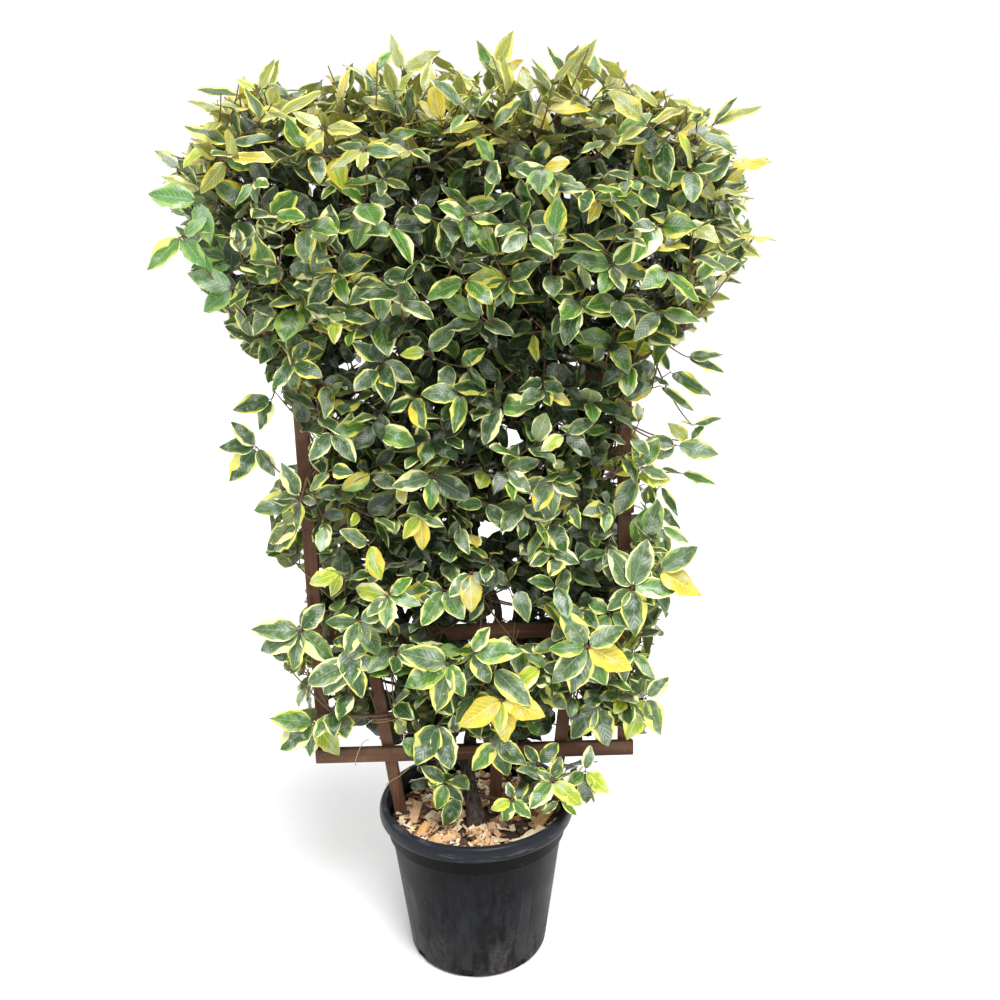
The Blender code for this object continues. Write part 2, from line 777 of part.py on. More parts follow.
def fit_leaf(root, way, shoot_way, face, space, blocked, others):
    """The largest leaf that keeps to the space and touches nothing, turned a little further at each try."""
    for attempt in range(TRIES):
        turn = Matrix.Rotation(attempt * TRY_TURN * (-1) ** attempt, 3, shoot_way)
        matrix = leaf_frame(root, (turn @ way).normalized(), face)
        for size in LEAF_SIZES:
            leaf = placed(leaf_mesh(size), matrix)
            if not space.holds_all(corners(leaf)):
                continue
            own = tree_of(placed(leaf_mesh(size, TRIAL_THICK, TRIAL_GROW), matrix))
            if any(own.overlap(tree) for tree in blocked) or any(own.overlap(tree) for tree in others):
                continue
            return leaf, tree_of(leaf)
    return None


def keep_largest(mesh):
    """Drops loose scraps and fills sealed hollows: only the largest connected shell stays."""
    bm = bmesh.new()
    bm.from_mesh(mesh)
    left = set(bm.faces)
    shells = []
    while left:
        shell, edge = set(), [left.pop()]
        while edge:
            face = edge.pop()
            shell.add(face)
            near = {other for line in face.edges for other in line.link_faces if other in left}
            left -= near
            edge += near
        shells.append(shell)
    largest = max(shells, key=len)
    bmesh.ops.delete(bm, geom=[face for face in bm.faces if face not in largest], context="FACES")
    bm.to_mesh(mesh)
    bm.free()


def main():
    empty_scene()
    parts = make_collection("potted_trellis_shrub")
    cutters = make_collection("cutters")
    materials = make_materials()
    pot = make_pot(parts, cutters, materials)
    laths = make_trellis(parts, materials)
    mix = make_mix(parts, cutters, materials, LEGS)
    trunk = make_trunk(parts, materials)
    limbs = make_boughs(parts, materials, trunk)
    middles = mass_middles()
    stems = make_stems(limbs, laths, pot, mix, middles)
    solid = [tree_of(obj) for obj in [*limbs.values(), *laths, pot, mix]]
    blocked = {
        name: solid + [stem["wide"] for other, stem in stems.items() if other != name] for name in stems
    }
    for name, stem in stems.items():
        make_mass(name, stem, Space(name, middles), blocked, parts, materials)


main()
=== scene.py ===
import math
import random

import bmesh
import bpy
import numpy as np
from mathutils import Matrix, Vector, noise
from mathutils.bvhtree import BVHTree
from mathutils.kdtree import KDTree


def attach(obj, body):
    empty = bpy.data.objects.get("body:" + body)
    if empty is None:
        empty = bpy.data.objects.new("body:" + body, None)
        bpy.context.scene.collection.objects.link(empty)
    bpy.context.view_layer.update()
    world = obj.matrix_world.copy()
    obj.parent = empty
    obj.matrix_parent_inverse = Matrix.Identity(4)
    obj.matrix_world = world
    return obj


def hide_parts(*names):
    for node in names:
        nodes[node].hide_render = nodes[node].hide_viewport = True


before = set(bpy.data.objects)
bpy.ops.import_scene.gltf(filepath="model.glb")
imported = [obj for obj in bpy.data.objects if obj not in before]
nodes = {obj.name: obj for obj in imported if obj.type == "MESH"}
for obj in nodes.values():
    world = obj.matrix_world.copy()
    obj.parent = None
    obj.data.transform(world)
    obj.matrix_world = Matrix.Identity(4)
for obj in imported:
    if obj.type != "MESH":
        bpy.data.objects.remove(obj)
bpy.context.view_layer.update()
print("frame in:", len(nodes), "solids")


# small helpers


def linkObject(name, data):
    obj = bpy.data.objects.new(name, data)
    bpy.context.scene.collection.objects.link(obj)
    return obj


def newObject(name, mesh, material):
    obj = linkObject(name, mesh)
    mesh.materials.clear()
    mesh.materials.append(material)
    return obj


def newPiece(name, mesh, material, standsFor=()):
    obj = newObject(name, mesh, material)
    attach(obj, "root")
    if standsFor:
        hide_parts(*standsFor)
    return obj


def meshOf(bm, name, sharp=40):
    mesh = bpy.data.meshes.new(name)
    bm.to_mesh(mesh)
    bm.free()
    mesh.shade_smooth()
    mesh.set_sharp_from_angle(angle=math.radians(sharp))
    return mesh


def meshFromArrays(name, points, faces, uv=None):
    mesh = bpy.data.meshes.new(name)
    mesh.vertices.add(len(points))
    mesh.vertices.foreach_set("co", np.ascontiguousarray(points, dtype=np.float32).ravel())
    mesh.loops.add(faces.size)
    mesh.loops.foreach_set("vertex_index", np.ascontiguousarray(faces, dtype=np.int32).ravel())
    mesh.polygons.add(len(faces))
    mesh.polygons.foreach_set("loop_start", np.arange(0, faces.size, faces.shape[1], dtype=np.int32))
    mesh.update(calc_edges=True)
    if uv is not None:
        layer = mesh.uv_layers.new(name="leafPlace")
        layer.data.foreach_set("uv", np.ascontiguousarray(uv[faces.ravel()], dtype=np.float32).ravel())
    mesh.shade_smooth()
    return mesh


def treeOf(mesh):
    return BVHTree.FromPolygons([v.co.copy() for v in mesh.vertices], [p.vertices[:] for p in mesh.polygons])


def smoothPath(points, spans):
    points = [Vector(point) for point in points]
    ends = [2 * points[0] - points[1], *points, 2 * points[-1] - points[-2]]
    path = []
    for before, start, end, after in zip(ends, ends[1:], ends[2:], ends[3:]):
        for step in range(spans):
            t = step / spans
            bend = (2 * before - 5 * start + 4 * end - after) * t**2
            turn = (3 * start - before - 3 * end + after) * t**3
            path.append(0.5 * (2 * start + (end - before) * t + bend + turn))
    return [*path, points[-1]]


def taperAlong(count, radii):
    return [radii[0] + (radii[1] - radii[0]) * index / (count - 1) for index in range(count)]


def bevelEdges(bm, edges, width, segments):
    shape = {"segments": segments, "profile": 0.5, "affect": "EDGES", "material": -1}
    bmesh.ops.bevel(bm, geom=list(edges), offset=width, **shape)


def growTube(bm, path, radii, sides):
    # one round cap, extruded ring by ring along the path
    ways = [(path[min(i + 1, len(path) - 1)] - path[max(i - 1, 0)]).normalized() for i in range(len(path))]
    place = Matrix.Translation(path[0]) @ ways[0].to_track_quat("Z", "Y").to_matrix().to_4x4()
    made = bmesh.ops.create_circle(bm, cap_ends=True, segments=sides, radius=radii[0], matrix=place)
    cap = made["verts"][0].link_faces[0]
    rings = [list(cap.verts)]
    for index in range(1, len(path)):
        grown = bmesh.ops.extrude_face_region(bm, geom=[cap])
        if index > 1:
            bmesh.ops.delete(bm, geom=[cap], context="FACES_ONLY")
        cap = next(item for item in grown["geom"] if isinstance(item, bmesh.types.BMFace))
        turn = ways[index - 1].rotation_difference(ways[index]).to_matrix()
        size = radii[index] / radii[index - 1]
        for vert in cap.verts:
            vert.co = path[index] + turn @ (vert.co - path[index - 1]) * size
        rings.append(list(cap.verts))
    return rings


# node helpers for the materials


def startMaterial(name, roughness, **values):
    material = bpy.data.materials.new(name)
    material.use_nodes = True
    shader = material.node_tree.nodes["Principled BSDF"]
    shader.inputs["Roughness"].default_value = roughness
    for socket, value in values.items():
        shader.inputs[socket.replace("_", " ")].default_value = value
    return material, material.node_tree, shader


def addNode(tree, kind, values=(), **settings):
    node = tree.nodes.new(kind)
    for setting, value in settings.items():
        setattr(node, setting, value)
    for socket, value in dict(values).items():
        if isinstance(value, bpy.types.NodeSocket):
            tree.links.new(value, node.inputs[socket])
        else:
            node.inputs[socket].default_value = value
    return node


def objectPlace(tree, scale=(1, 1, 1), turn=(0, 0, 0)):
    coord = addNode(tree, "ShaderNodeTexCoord").outputs["Object"]
    return addNode(tree, "ShaderNodeMapping", {"Vector": coord, "Scale": scale, "Rotation": turn}).outputs[0]


def heightOf(tree, place):
    return addNode(tree, "ShaderNodeSeparateXYZ", {0: place}).outputs["Z"]


def noiseOf(tree, place, scale, detail=3.0, rough=0.55):
    values = {"Vector": place, "Scale": scale, "Detail": detail, "Roughness": rough}
    return addNode(tree, "ShaderNodeTexNoise", values).outputs["Fac"]


def rampOf(tree, factor, stops):
    node = addNode(tree, "ShaderNodeValToRGB", {"Fac": factor})
    ramp = node.color_ramp
    while len(ramp.elements) < len(stops):
        ramp.elements.new(0.5)
    for element, (place, color) in zip(ramp.elements, stops):
        element.position = place
        element.color = (*color, 1.0)
    return node.outputs["Color"]


def greyRamp(tree, factor, low, high, fromValue=0.0, toValue=1.0):
    values = {"Value": factor, "From Min": low, "From Max": high, "To Min": fromValue, "To Max": toValue}
    return addNode(tree, "ShaderNodeMapRange", values, clamp=True).outputs["Result"]


def mixOf(tree, factor, first, second):
    # each end is a colour or the output of a node
    first, second = ((*end, 1.0) if isinstance(end, tuple) else end for end in (first, second))
    return addNode(tree, "ShaderNodeMix", {0: factor, 6: first, 7: second}, data_type="RGBA").outputs[2]


def mathOf(tree, operation, first, second):
    return addNode(tree, "ShaderNodeMath", {0: first, 1: second}, operation=operation).outputs[0]


def timesOf(tree, first, second):
    return mathOf(tree, "MULTIPLY", first, second)


def colorInto(tree, shader, color):
    tree.links.new(color, shader.inputs["Base Color"])


def bumpInto(tree, shader, height, strength, distance):
    values = {"Height": height, "Strength": strength, "Distance": distance}
    tree.links.new(addNode(tree, "ShaderNodeBump", values).outputs["Normal"], shader.inputs["Normal"])


# camera, floor and light

cameraSet = {
    "place": (0.050, -1.700, 1.293),
    "down": 11.70,
    "turn": -0.21,
    "roll": -0.71,
    "lens": 32.4,
    "sensor": 36,
}
sunSet = {"way": (-0.24, 0.52, -1.0), "strength": 3.20, "spread": 30}
lampSet = {
    "front": {"place": (1.6, -3.8, 2.8), "size": 2.4, "power": 34, "aim": (0, 0, 1.0)},
    "side": {"place": (-3.4, -1.6, 2.6), "size": 2.4, "power": 28, "aim": (0, 0, 1.0)},
    "back": {"place": (1.0, 3.0, 3.0), "size": 2.6, "power": 30, "aim": (0, 0, 1.1)},
}
worldSet = {"color": (1.0, 1.0, 1.0, 1.0), "low": 0.14, "level": 0.30, "high": 1.00, "shown": 1.0}
floorSet = {"reach": 30.0, "under": 0.0005, "dark": (0.86, 0.86, 0.86), "pale": (0.90, 0.90, 0.90)}


def makeCamera():
    data = bpy.data.cameras.new("camera")
    data.lens = cameraSet["lens"]
    data.sensor_width = cameraSet["sensor"]
    camera = linkObject("camera", data)
    turn = Matrix.Rotation(math.radians(cameraSet["turn"]), 4, "Z")
    tilt = Matrix.Rotation(math.radians(90 - cameraSet["down"]), 4, "X")
    roll = Matrix.Rotation(math.radians(cameraSet["roll"]), 4, "Z")
    camera.matrix_world = Matrix.Translation(cameraSet["place"]) @ turn @ tilt @ roll
    bpy.context.scene.camera = camera


def makeWorld():
    scene = bpy.context.scene
    scene.view_settings.view_transform = "Standard"
    world = bpy.data.worlds.new("pale room")
    world.use_nodes = True
    tree = world.node_tree
    back = tree.nodes["Background"]
    back.inputs["Color"].default_value = worldSet["color"]
    # brighter overhead than along the horizon, plain white to the camera
    rise = heightOf(tree, addNode(tree, "ShaderNodeTexCoord").outputs["Generated"])
    under = greyRamp(tree, mathOf(tree, "ADD", rise, 0.5), 0.2, 0.5, worldSet["low"], worldSet["level"])
    over = greyRamp(tree, rise, 0.0, 1.0, 0.0, worldSet["high"] - worldSet["level"])
    seen = addNode(tree, "ShaderNodeLightPath").outputs["Is Camera Ray"]
    strength = mathOf(tree, "ADD", under, over)
    strength = mathOf(tree, "MAXIMUM", strength, timesOf(tree, seen, worldSet["shown"]))
    tree.links.new(strength, back.inputs["Strength"])
    scene.world = world


def pointAlong(lamp, way):
    lamp.rotation_euler = Vector(way).to_track_quat("-Z", "Y").to_euler()


def makeLights():
    data = bpy.data.lights.new("sun", "SUN")
    data.energy = sunSet["strength"]
    data.angle = math.radians(sunSet["spread"])
    pointAlong(linkObject("sun", data), sunSet["way"])
    for name, light in lampSet.items():
        data = bpy.data.lights.new(name, "AREA")
        data.size = light["size"]
        data.energy = light["power"]
        lamp = linkObject(name, data)
        lamp.location = light["place"]
        pointAlong(lamp, Vector(light["aim"]) - Vector(light["place"]))


def makeFloor():
    bm = bmesh.new()
    bmesh.ops.create_grid(bm, x_segments=1, y_segments=1, size=floorSet["reach"])
    material, tree, shader = startMaterial("pale floor", 0.9)
    speckle = noiseOf(tree, objectPlace(tree), 40.0)
    colorInto(tree, shader, mixOf(tree, speckle, floorSet["dark"], floorSet["pale"]))
    floor = newObject("floor", meshOf(bm, "floor"), material)
    floor.location.z = -floorSet["under"]


makeCamera()
makeWorld()
makeLights()
makeFloor()
print("camera, floor and light done")

# pot: a turned shell with a rolled rim, a ring under the collar and drain slots

potSet = {
    "height": 0.320,
    "rim": 0.200,
    "base": 0.141,
    "collar": 0.1757,
    "collarHeight": 0.252,
    "wall": 0.0035,
    "floor": 0.004,
    "rimDrop": 0.031,
    "steps": 144,
    "slots": 8,
    "slotSize": (0.023, 0.030, 0.0165),
    "slotLift": 0.0025,
    "slotEdge": 0.0025,
    "slotTurn": -8.4,
}
soilLevel = 0.275


def wallRadius(height):
    share = height / potSet["collarHeight"]
    return potSet["base"] + (potSet["collar"] - potSet["base"]) * share


def roundedProfile(points, steps=5):
    # each point is radius, height and how much of its corner is rounded off
    path = []
    for index, (radius, height, rounding) in enumerate(points):
        here = Vector((radius, height))
        if not rounding:
            path.append(here)
            continue
        before = Vector(points[index - 1][:2]) - here
        after = Vector(points[index + 1][:2]) - here
        start = here + before.normalized() * min(rounding, before.length * 0.48)
        end = here + after.normalized() * min(rounding, after.length * 0.48)
        for step in range(steps + 1):
            t = step / steps
            path.append(start * (1 - t) ** 2 + here * 2 * t * (1 - t) + end * t**2)
    return path


def spinProfile(path, steps):
    bm = bmesh.new()
    verts = [bm.verts.new((point[0], 0.0, point[1])) for point in path]
    for first, second in zip(verts, verts[1:]):
        bm.edges.new((first, second))
    geom = bm.verts[:] + bm.edges[:]
    bmesh.ops.spin(bm, geom=geom, axis=(0, 0, 1), cent=(0, 0, 0), angle=math.tau, steps=steps, use_merge=True)
    bmesh.ops.remove_doubles(bm, verts=bm.verts, dist=0.00001)
    bmesh.ops.recalc_face_normals(bm, faces=bm.faces)
    return bm


def potMaterial():
    material, tree, shader = startMaterial("charcoal plastic", 0.5, Specular_IOR_Level=0.10)
    place = objectPlace(tree)
    streaks = noiseOf(tree, objectPlace(tree, (150, 150, 4)), 1.0, 4.0)
    cloud = noiseOf(tree, place, 9.0, 4.0)
    grain = noiseOf(tree, place, 240.0, 2.0)
    height = heightOf(tree, place)
    base = mixOf(tree, greyRamp(tree, streaks, 0.35, 0.7), (0.0048, 0.0054, 0.0078), (0.0110, 0.0122, 0.0165))
    base = mixOf(tree, greyRamp(tree, cloud, 0.45, 0.75, 0.0, 0.6), base, (0.026, 0.027, 0.030))
    mottle = noiseOf(tree, place, 58.0, 5.0, 0.7)
    patchy = timesOf(tree, greyRamp(tree, cloud, 0.36, 0.66), greyRamp(tree, mottle, 0.40, 0.60, 0.25, 1.0))
    dust = timesOf(tree, greyRamp(tree, height, 0.0, 0.115, 1.0, 0.0), patchy)
    base = mixOf(tree, timesOf(tree, dust, 0.95), base, (0.105, 0.092, 0.080))
    stains = (((16, 16, 9), 0.52, 0.62), ((48, 48, 11), 0.54, 0.62), ((95, 95, 60), 0.56, 0.66))
    for stretch, low, high in stains:
        stain = noiseOf(tree, objectPlace(tree, stretch), 1.0, 5.0, 0.65)
        base = mixOf(tree, greyRamp(tree, stain, low, high, 0.0, 0.75), base, (0.0014, 0.0014, 0.0017))
    # painted shade: the body darkens upwards towards the collar, under the overhanging rim roll
    shadeBelowRim = greyRamp(tree, height, 0.150, 0.245, 0.0, 0.6)
    base = mixOf(tree, shadeBelowRim, base, (0.0022, 0.0023, 0.0028))
    # painted shadow: a dark band on the collar, where the rim roll shades it
    rollShadowTop = greyRamp(tree, height, 0.286, 0.291, 1.0, 0.0)
    rollShadow = timesOf(tree, greyRamp(tree, height, 0.249, 0.252), rollShadowTop)
    base = mixOf(tree, timesOf(tree, rollShadow, 0.7), base, (0.0014, 0.0014, 0.0018))
    # painted highlight along the top of the rim roll; the same mask also makes the rim smoother and holds its
    # scuffs
    high = greyRamp(tree, height, 0.290, 0.300)
    base = mixOf(tree, timesOf(tree, high, 0.7), base, (0.0230, 0.0255, 0.0320))
    scuffPlace = noiseOf(tree, objectPlace(tree, (14, 14, 120)), 1.0, 5.0, 0.7)
    scuff = timesOf(tree, high, greyRamp(tree, scuffPlace, 0.56, 0.66))
    base = mixOf(tree, timesOf(tree, scuff, 0.55), base, (0.10, 0.10, 0.11))
    speck = greyRamp(tree, noiseOf(tree, place, 130.0, 2.0), 0.70, 0.74, 0.0, 0.5)
    base = mixOf(tree, speck, base, (0.08, 0.075, 0.07))
    colorInto(tree, shader, base)
    rough = mathOf(tree, "ADD", greyRamp(tree, cloud, 0.3, 0.7, 0.36, 0.54), timesOf(tree, dust, 0.3))
    rough = mathOf(tree, "SUBTRACT", rough, timesOf(tree, high, 0.17))
    tree.links.new(rough, shader.inputs["Roughness"])
    bumps = mathOf(tree, "ADD", timesOf(tree, streaks, 0.8), timesOf(tree, grain, 0.35))
    bumpInto(tree, shader, bumps, 0.35, 0.0006)
    return material


def cutSlots(pot):
    wide, deep, tall = potSet["slotSize"]
    bm = bmesh.new()
    for index in range(potSet["slots"]):
        turn = Matrix.Rotation(math.radians(potSet["slotTurn"]) + index * math.tau / potSet["slots"], 4, "Z")
        place = Matrix.Translation((0, -potSet["base"] + deep / 4, tall / 2 + potSet["slotLift"]))
        size = Matrix.Diagonal((wide, deep, tall, 1))
        made = bmesh.ops.create_cube(bm, size=1.0, matrix=turn @ place @ size)
        edges = {edge for vert in made["verts"] for edge in vert.link_edges}
        bevelEdges(bm, edges, potSet["slotEdge"], 3)
    cutter = linkObject("slotCutter", meshOf(bm, "slotCutter"))
    cut = pot.modifiers.new("slots", "BOOLEAN")
    cut.operation = "DIFFERENCE"
    cut.object = cutter
    cut.solver = "EXACT"
    bpy.context.view_layer.update()
    cutMesh = bpy.data.meshes.new_from_object(pot.evaluated_get(bpy.context.evaluated_depsgraph_get()))
    pot.modifiers.clear()
    pot.data = cutMesh
    bpy.data.objects.remove(cutter)


def makePot():
    height, rim, collar = potSet["height"], potSet["rim"], potSet["collar"]
    rimFoot = height - potSet["rimDrop"]
    innerTop = wallRadius(height) - potSet["wall"]
    profile = roundedProfile(
        (
            (0.0, potSet["floor"], 0),
            (wallRadius(0.004) - potSet["wall"], potSet["floor"], 0.003),
            (innerTop, height - 0.007, 0.004),
            (innerTop + 0.003, height - 0.0005, 0.002),
            (rim - 0.0050, height, 0.006),
            (rim, height - 0.013, 0.011),
            (rim - 0.0008, rimFoot + 0.004, 0.006),
            (rim - 0.0070, rimFoot, 0.004),
            (collar + 0.0072, rimFoot + 0.0006, 0.001),
            (collar + 0.0066, potSet["collarHeight"] + 0.008, 0.001),
            (collar + 0.0063, potSet["collarHeight"] + 0.003, 0.001),
            (collar, potSet["collarHeight"], 0.001),
            (wallRadius(0.20) - 0.0003, 0.20, 0.002),
            (wallRadius(0.005), 0.005, 0.004),
            (potSet["base"] - 0.005, 0.0, 0.002),
            (potSet["base"] - 0.012, 0.0, 0.001),
            (potSet["base"] - 0.014, 0.003, 0.001),
            (0.0, 0.003, 0),
        )
    )
    mesh = meshOf(spinProfile(profile, potSet["steps"]), "nursery_pot")
    pot = newObject("nursery_pot", mesh, potMaterial())
    cutSlots(pot)
    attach(pot, "root")
    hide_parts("pot")


makePot()
print("pot done")

# mulch: a rough dark bed under bark chips, litter and a few specks of perlite

mulchSet = {
    "chips": 900,
    "chipLong": (0.010, 0.042),
    "chipWide": (0.004, 0.015),
    "chipThick": (0.0012, 0.0034),
    "chipBroken": (0.6, 1.0),
    # shares of a chip's length
    "chipWidest": 0.8,
    "fromWall": 0.55,
    "fromStem": 0.4,
    "roughness": 0.13,
    "curl": 0.6,
    "tilt": (0.42, 0.26),
    "heap": 0.008,
    "bare": (0.085, -0.075, 0.040),  # dark patch of bed: x, y, radius
    "bareOdds": 0.8,
    # round the trunk and the legs: x, y, radius
    "clear": ((0.002, -0.028, 0.026), (-0.190, 0.006, 0.017), (0.039, 0.006, 0.017), (0.160, 0.006, 0.017)),
    "tints": {
        "cream": ((0.92, 0.74, 0.49), 0.27),
        "tan": ((0.70, 0.45, 0.25), 0.27),
        "gold": ((0.70, 0.40, 0.15), 0.10),
        "brown": ((0.30, 0.140, 0.066), 0.17),
        "dark": ((0.070, 0.042, 0.028), 0.15),
        "white": ((0.88, 0.86, 0.78), 0.04),
    },
    # large pieces that show: tint, x, y, turn, length, width, tilt
    "large": (
        ("gold", 0.133, -0.055, 35, 0.048, 0.024, 34),
        ("gold", -0.105, -0.072, 60, 0.030, 0.016, 20),
        ("tan", -0.060, -0.105, 10, 0.040, 0.018, 8),
        ("brown", 0.010, -0.135, -12, 0.038, 0.014, 6),
        ("tan", -0.125, -0.020, 75, 0.044, 0.017, 30),
        ("brown", 0.045, 0.010, 20, 0.052, 0.020, 38),
        ("cream", 0.105, -0.095, 40, 0.030, 0.017, 14),
    ),
    "largeRoughness": 0.08,
    "largeThick": 0.0035,
    "largeLift": 0.007,
}


def bedMaterial():
    material, tree, shader = startMaterial("damp potting mix", 0.95)
    place = objectPlace(tree)
    fine = noiseOf(tree, place, 160.0, 6.0, 0.7)
    broad = noiseOf(tree, place, 28.0, 4.0)
    stops = ((0.3, (0.012, 0.009, 0.007)), (0.55, (0.055, 0.036, 0.024)), (0.75, (0.17, 0.10, 0.055)))
    base = rampOf(tree, fine, stops)
    base = mixOf(tree, greyRamp(tree, broad, 0.4, 0.6, 0.0, 0.5), base, (0.03, 0.02, 0.014))
    height = heightOf(tree, place)
    # painted shade: the mix turns near-black low in the pot, where it shows through the drain slots
    base = mixOf(tree, greyRamp(tree, height, 0.10, 0.26), (0.004, 0.003, 0.003), base)
    colorInto(tree, shader, base)
    bumpInto(tree, shader, fine, 1.0, 0.004)
    return material


def chipMaterial(name, color):
    material, tree, shader = startMaterial(f"{name} bark chip", 0.85)
    fibre = noiseOf(tree, objectPlace(tree, (420, 90, 160), (0.3, 0.2, 0.9)), 1.0, 4.0)
    patch = noiseOf(tree, objectPlace(tree), 75.0, 3.0)
    dark = tuple(value * 0.62 for value in color)
    pale = tuple(min(1.0, value * 1.25) for value in color)
    base = mixOf(tree, greyRamp(tree, fibre, 0.3, 0.6), dark, color)
    base = mixOf(tree, greyRamp(tree, patch, 0.45, 0.7, 0.0, 0.6), base, pale)
    colorInto(tree, shader, base)
    bumpInto(tree, shader, fibre, 0.7, 0.0008)
    return material


# unevenness: how fine and how high
bedSet = {"broad": (18, 0.006), "fine": (60, 0.003), "seed": 3.1, "flatEdge": 6, "gap": 0.0003, "rings": 40}


def innerRadius(height):
    return wallRadius(height) - potSet["wall"]


def bedHeight(x, y):
    away = math.hypot(x, y) / innerRadius(soilLevel)
    broad, high = bedSet["broad"]
    lift = noise.noise(Vector((x * broad, y * broad, bedSet["seed"]))) * high
    fine, high = bedSet["fine"]
    lift += noise.noise(Vector((x * fine, y * fine, 0))) * high
    return soilLevel + lift * (1 - away ** bedSet["flatEdge"])


def makeBed():
    gap, rings = bedSet["gap"], bedSet["rings"]
    edge = innerRadius(soilLevel) - gap
    floor = potSet["floor"] + gap
    path = [(edge * ring / rings, soilLevel) for ring in range(rings + 1)]
    path += [(innerRadius(floor) - 2 * gap, floor), (0.0, floor)]
    bm = spinProfile(path, 96)
    for vert in bm.verts:
        if vert.co.z > soilLevel - 0.001:
            vert.co.z = bedHeight(vert.co.x, vert.co.y)
    newPiece("mulch_bed", meshOf(bm, "mulch_bed", 180), bedMaterial(), ("potting_mix",))


def chipShape():
    # a block with one cut across its length
    bm = bmesh.new()
    bmesh.ops.create_cube(bm, size=1.0)
    lengthwise = [edge for edge in bm.edges if abs((edge.verts[0].co - edge.verts[1].co).x) > 0.5]
    bmesh.ops.subdivide_edges(bm, edges=lengthwise, cuts=1)
    bmesh.ops.triangulate(bm, faces=bm.faces)
    bm.verts.ensure_lookup_table()
    corners = np.array([vert.co[:] for vert in bm.verts])
    faces = np.array([[vert.index for vert in face.verts] for face in bm.faces])
    bm.free()
    return corners, faces


def makeChips():
    rng = np.random.default_rng(5)
    picker = random.Random(5)
    corners, faces = chipShape()
    tints = list(mulchSet["tints"])
    odds = [mulchSet["tints"][tint][1] for tint in tints]
    made = {tint: [] for tint in tints}
    bareX, bareY, bareReach = mulchSet["bare"]
    tiltX, tiltY = mulchSet["tilt"]
    placed = 0
    while placed < mulchSet["chips"]:
        long = picker.uniform(*mulchSet["chipLong"]) * picker.uniform(*mulchSet["chipBroken"])
        away = (innerRadius(soilLevel) - long * mulchSet["fromWall"]) * math.sqrt(picker.random())
        angle = picker.uniform(0, math.tau)
        x, y = away * math.cos(angle), away * math.sin(angle)
        if math.hypot(x - bareX, y - bareY) < bareReach and picker.random() < mulchSet["bareOdds"]:
            continue
        near = long * mulchSet["fromStem"]
        if any(math.hypot(x - stemX, y - stemY) < reach + near for stemX, stemY, reach in mulchSet["clear"]):
            continue
        wide = min(picker.uniform(*mulchSet["chipWide"]), long * mulchSet["chipWidest"])
        size = np.array((long, wide, picker.uniform(*mulchSet["chipThick"])))
        jitter = rng.uniform(-mulchSet["roughness"], mulchSet["roughness"], corners.shape)
        bend = np.zeros_like(corners)
        bend[:, 2] = (np.abs(corners[:, 0]) * 2) ** 2 * picker.uniform(-mulchSet["curl"], mulchSet["curl"])
        chip = (corners + jitter + bend) * size
        tilt = Matrix.Rotation(picker.gauss(0, tiltX), 3, "X")
        tilt = tilt @ Matrix.Rotation(picker.gauss(0, tiltY), 3, "Y")
        turn = np.array(Matrix.Rotation(picker.uniform(0, math.tau), 3, "Z") @ tilt)
        lift = bedHeight(x, y) + size[2] * 0.5 + picker.uniform(0.0, mulchSet["heap"])
        made[picker.choices(tints, odds)[0]].append(chip @ turn.T + np.array((x, y, lift)))
        placed += 1
    for tint, x, y, turned, long, wide, tilted in mulchSet["large"]:
        tilt = Matrix.Rotation(math.radians(turned), 3, "Z") @ Matrix.Rotation(math.radians(-tilted), 3, "Y")
        jitter = rng.uniform(-mulchSet["largeRoughness"], mulchSet["largeRoughness"], corners.shape)
        chip = (corners + jitter) * np.array((long, wide, mulchSet["largeThick"]))
        lift = bedHeight(x, y) + mulchSet["largeLift"] + long / 2 * math.sin(math.radians(tilted))
        made[tint].append(chip @ np.array(tilt).T + np.array((x, y, lift)))
    for tint, chips in made.items():
        points = np.concatenate(chips)
        joined = np.concatenate([faces + index * len(corners) for index in range(len(chips))])
        mesh = meshFromArrays(f"chips_{tint}", points, joined)
        mesh.shade_flat()
        newPiece(f"chips_{tint}", mesh, chipMaterial(tint, mulchSet["tints"][tint][0]))


makeBed()
makeChips()
print("mulch done")

# laths: the CAD bars keep their shape and get a stained, weathered grain along their length

lathSet = {
    "dark": (0.030, 0.013, 0.007),
    "mid": (0.142, 0.066, 0.037),
    "light": (0.390, 0.215, 0.125),
    "grey": (0.270, 0.180, 0.130),
}
trellisSet = {
    "foot": (-0.002, 0.0, 0.420),
    "lean": -0.86,
    "thick": 0.012,
    "crossRises": (0.0, 0.257, 0.505, 0.748, 0.990),
    "apart": 0.614,
    "legApart": 0.350,
    "legSlope": 0.122,
    "stake": (0.045, 0.045),
    "stakeTop": 0.272,
}


def lathMaterial(name, along):
    material, tree, shader = startMaterial(name, 0.7, Specular_IOR_Level=0.3)
    stretch = {"upright": (70, 70, 2.2), "across": (2.2, 70, 70)}[along]
    broad = noiseOf(tree, objectPlace(tree, tuple(value * 0.35 for value in stretch)), 1.0, 3.0)
    grain = noiseOf(tree, objectPlace(tree, stretch), 1.0, 6.0, 0.65)
    fine = noiseOf(tree, objectPlace(tree, tuple(value * 5 for value in stretch)), 1.0, 3.0)
    weather = noiseOf(tree, objectPlace(tree), 16.0, 5.0, 0.6)
    dark, mid, light = (lathSet[shade] for shade in ("dark", "mid", "light"))
    base = rampOf(tree, grain, ((0.32, dark), (0.46, mid), (0.55, mid), (0.70, light)))
    base = mixOf(tree, greyRamp(tree, broad, 0.40, 0.68, 0.0, 0.45), base, mid)
    base = mixOf(tree, greyRamp(tree, fine, 0.55, 0.8, 0.0, 0.6), base, dark)
    base = mixOf(tree, greyRamp(tree, weather, 0.50, 0.70, 0.0, 0.5), base, lathSet["grey"])
    colorInto(tree, shader, base)
    tree.links.new(greyRamp(tree, grain, 0.3, 0.7, 0.58, 0.82), shader.inputs["Roughness"])
    bumpInto(tree, shader, mathOf(tree, "ADD", grain, timesOf(tree, fine, 0.4)), 0.6, 0.0012)
    return material


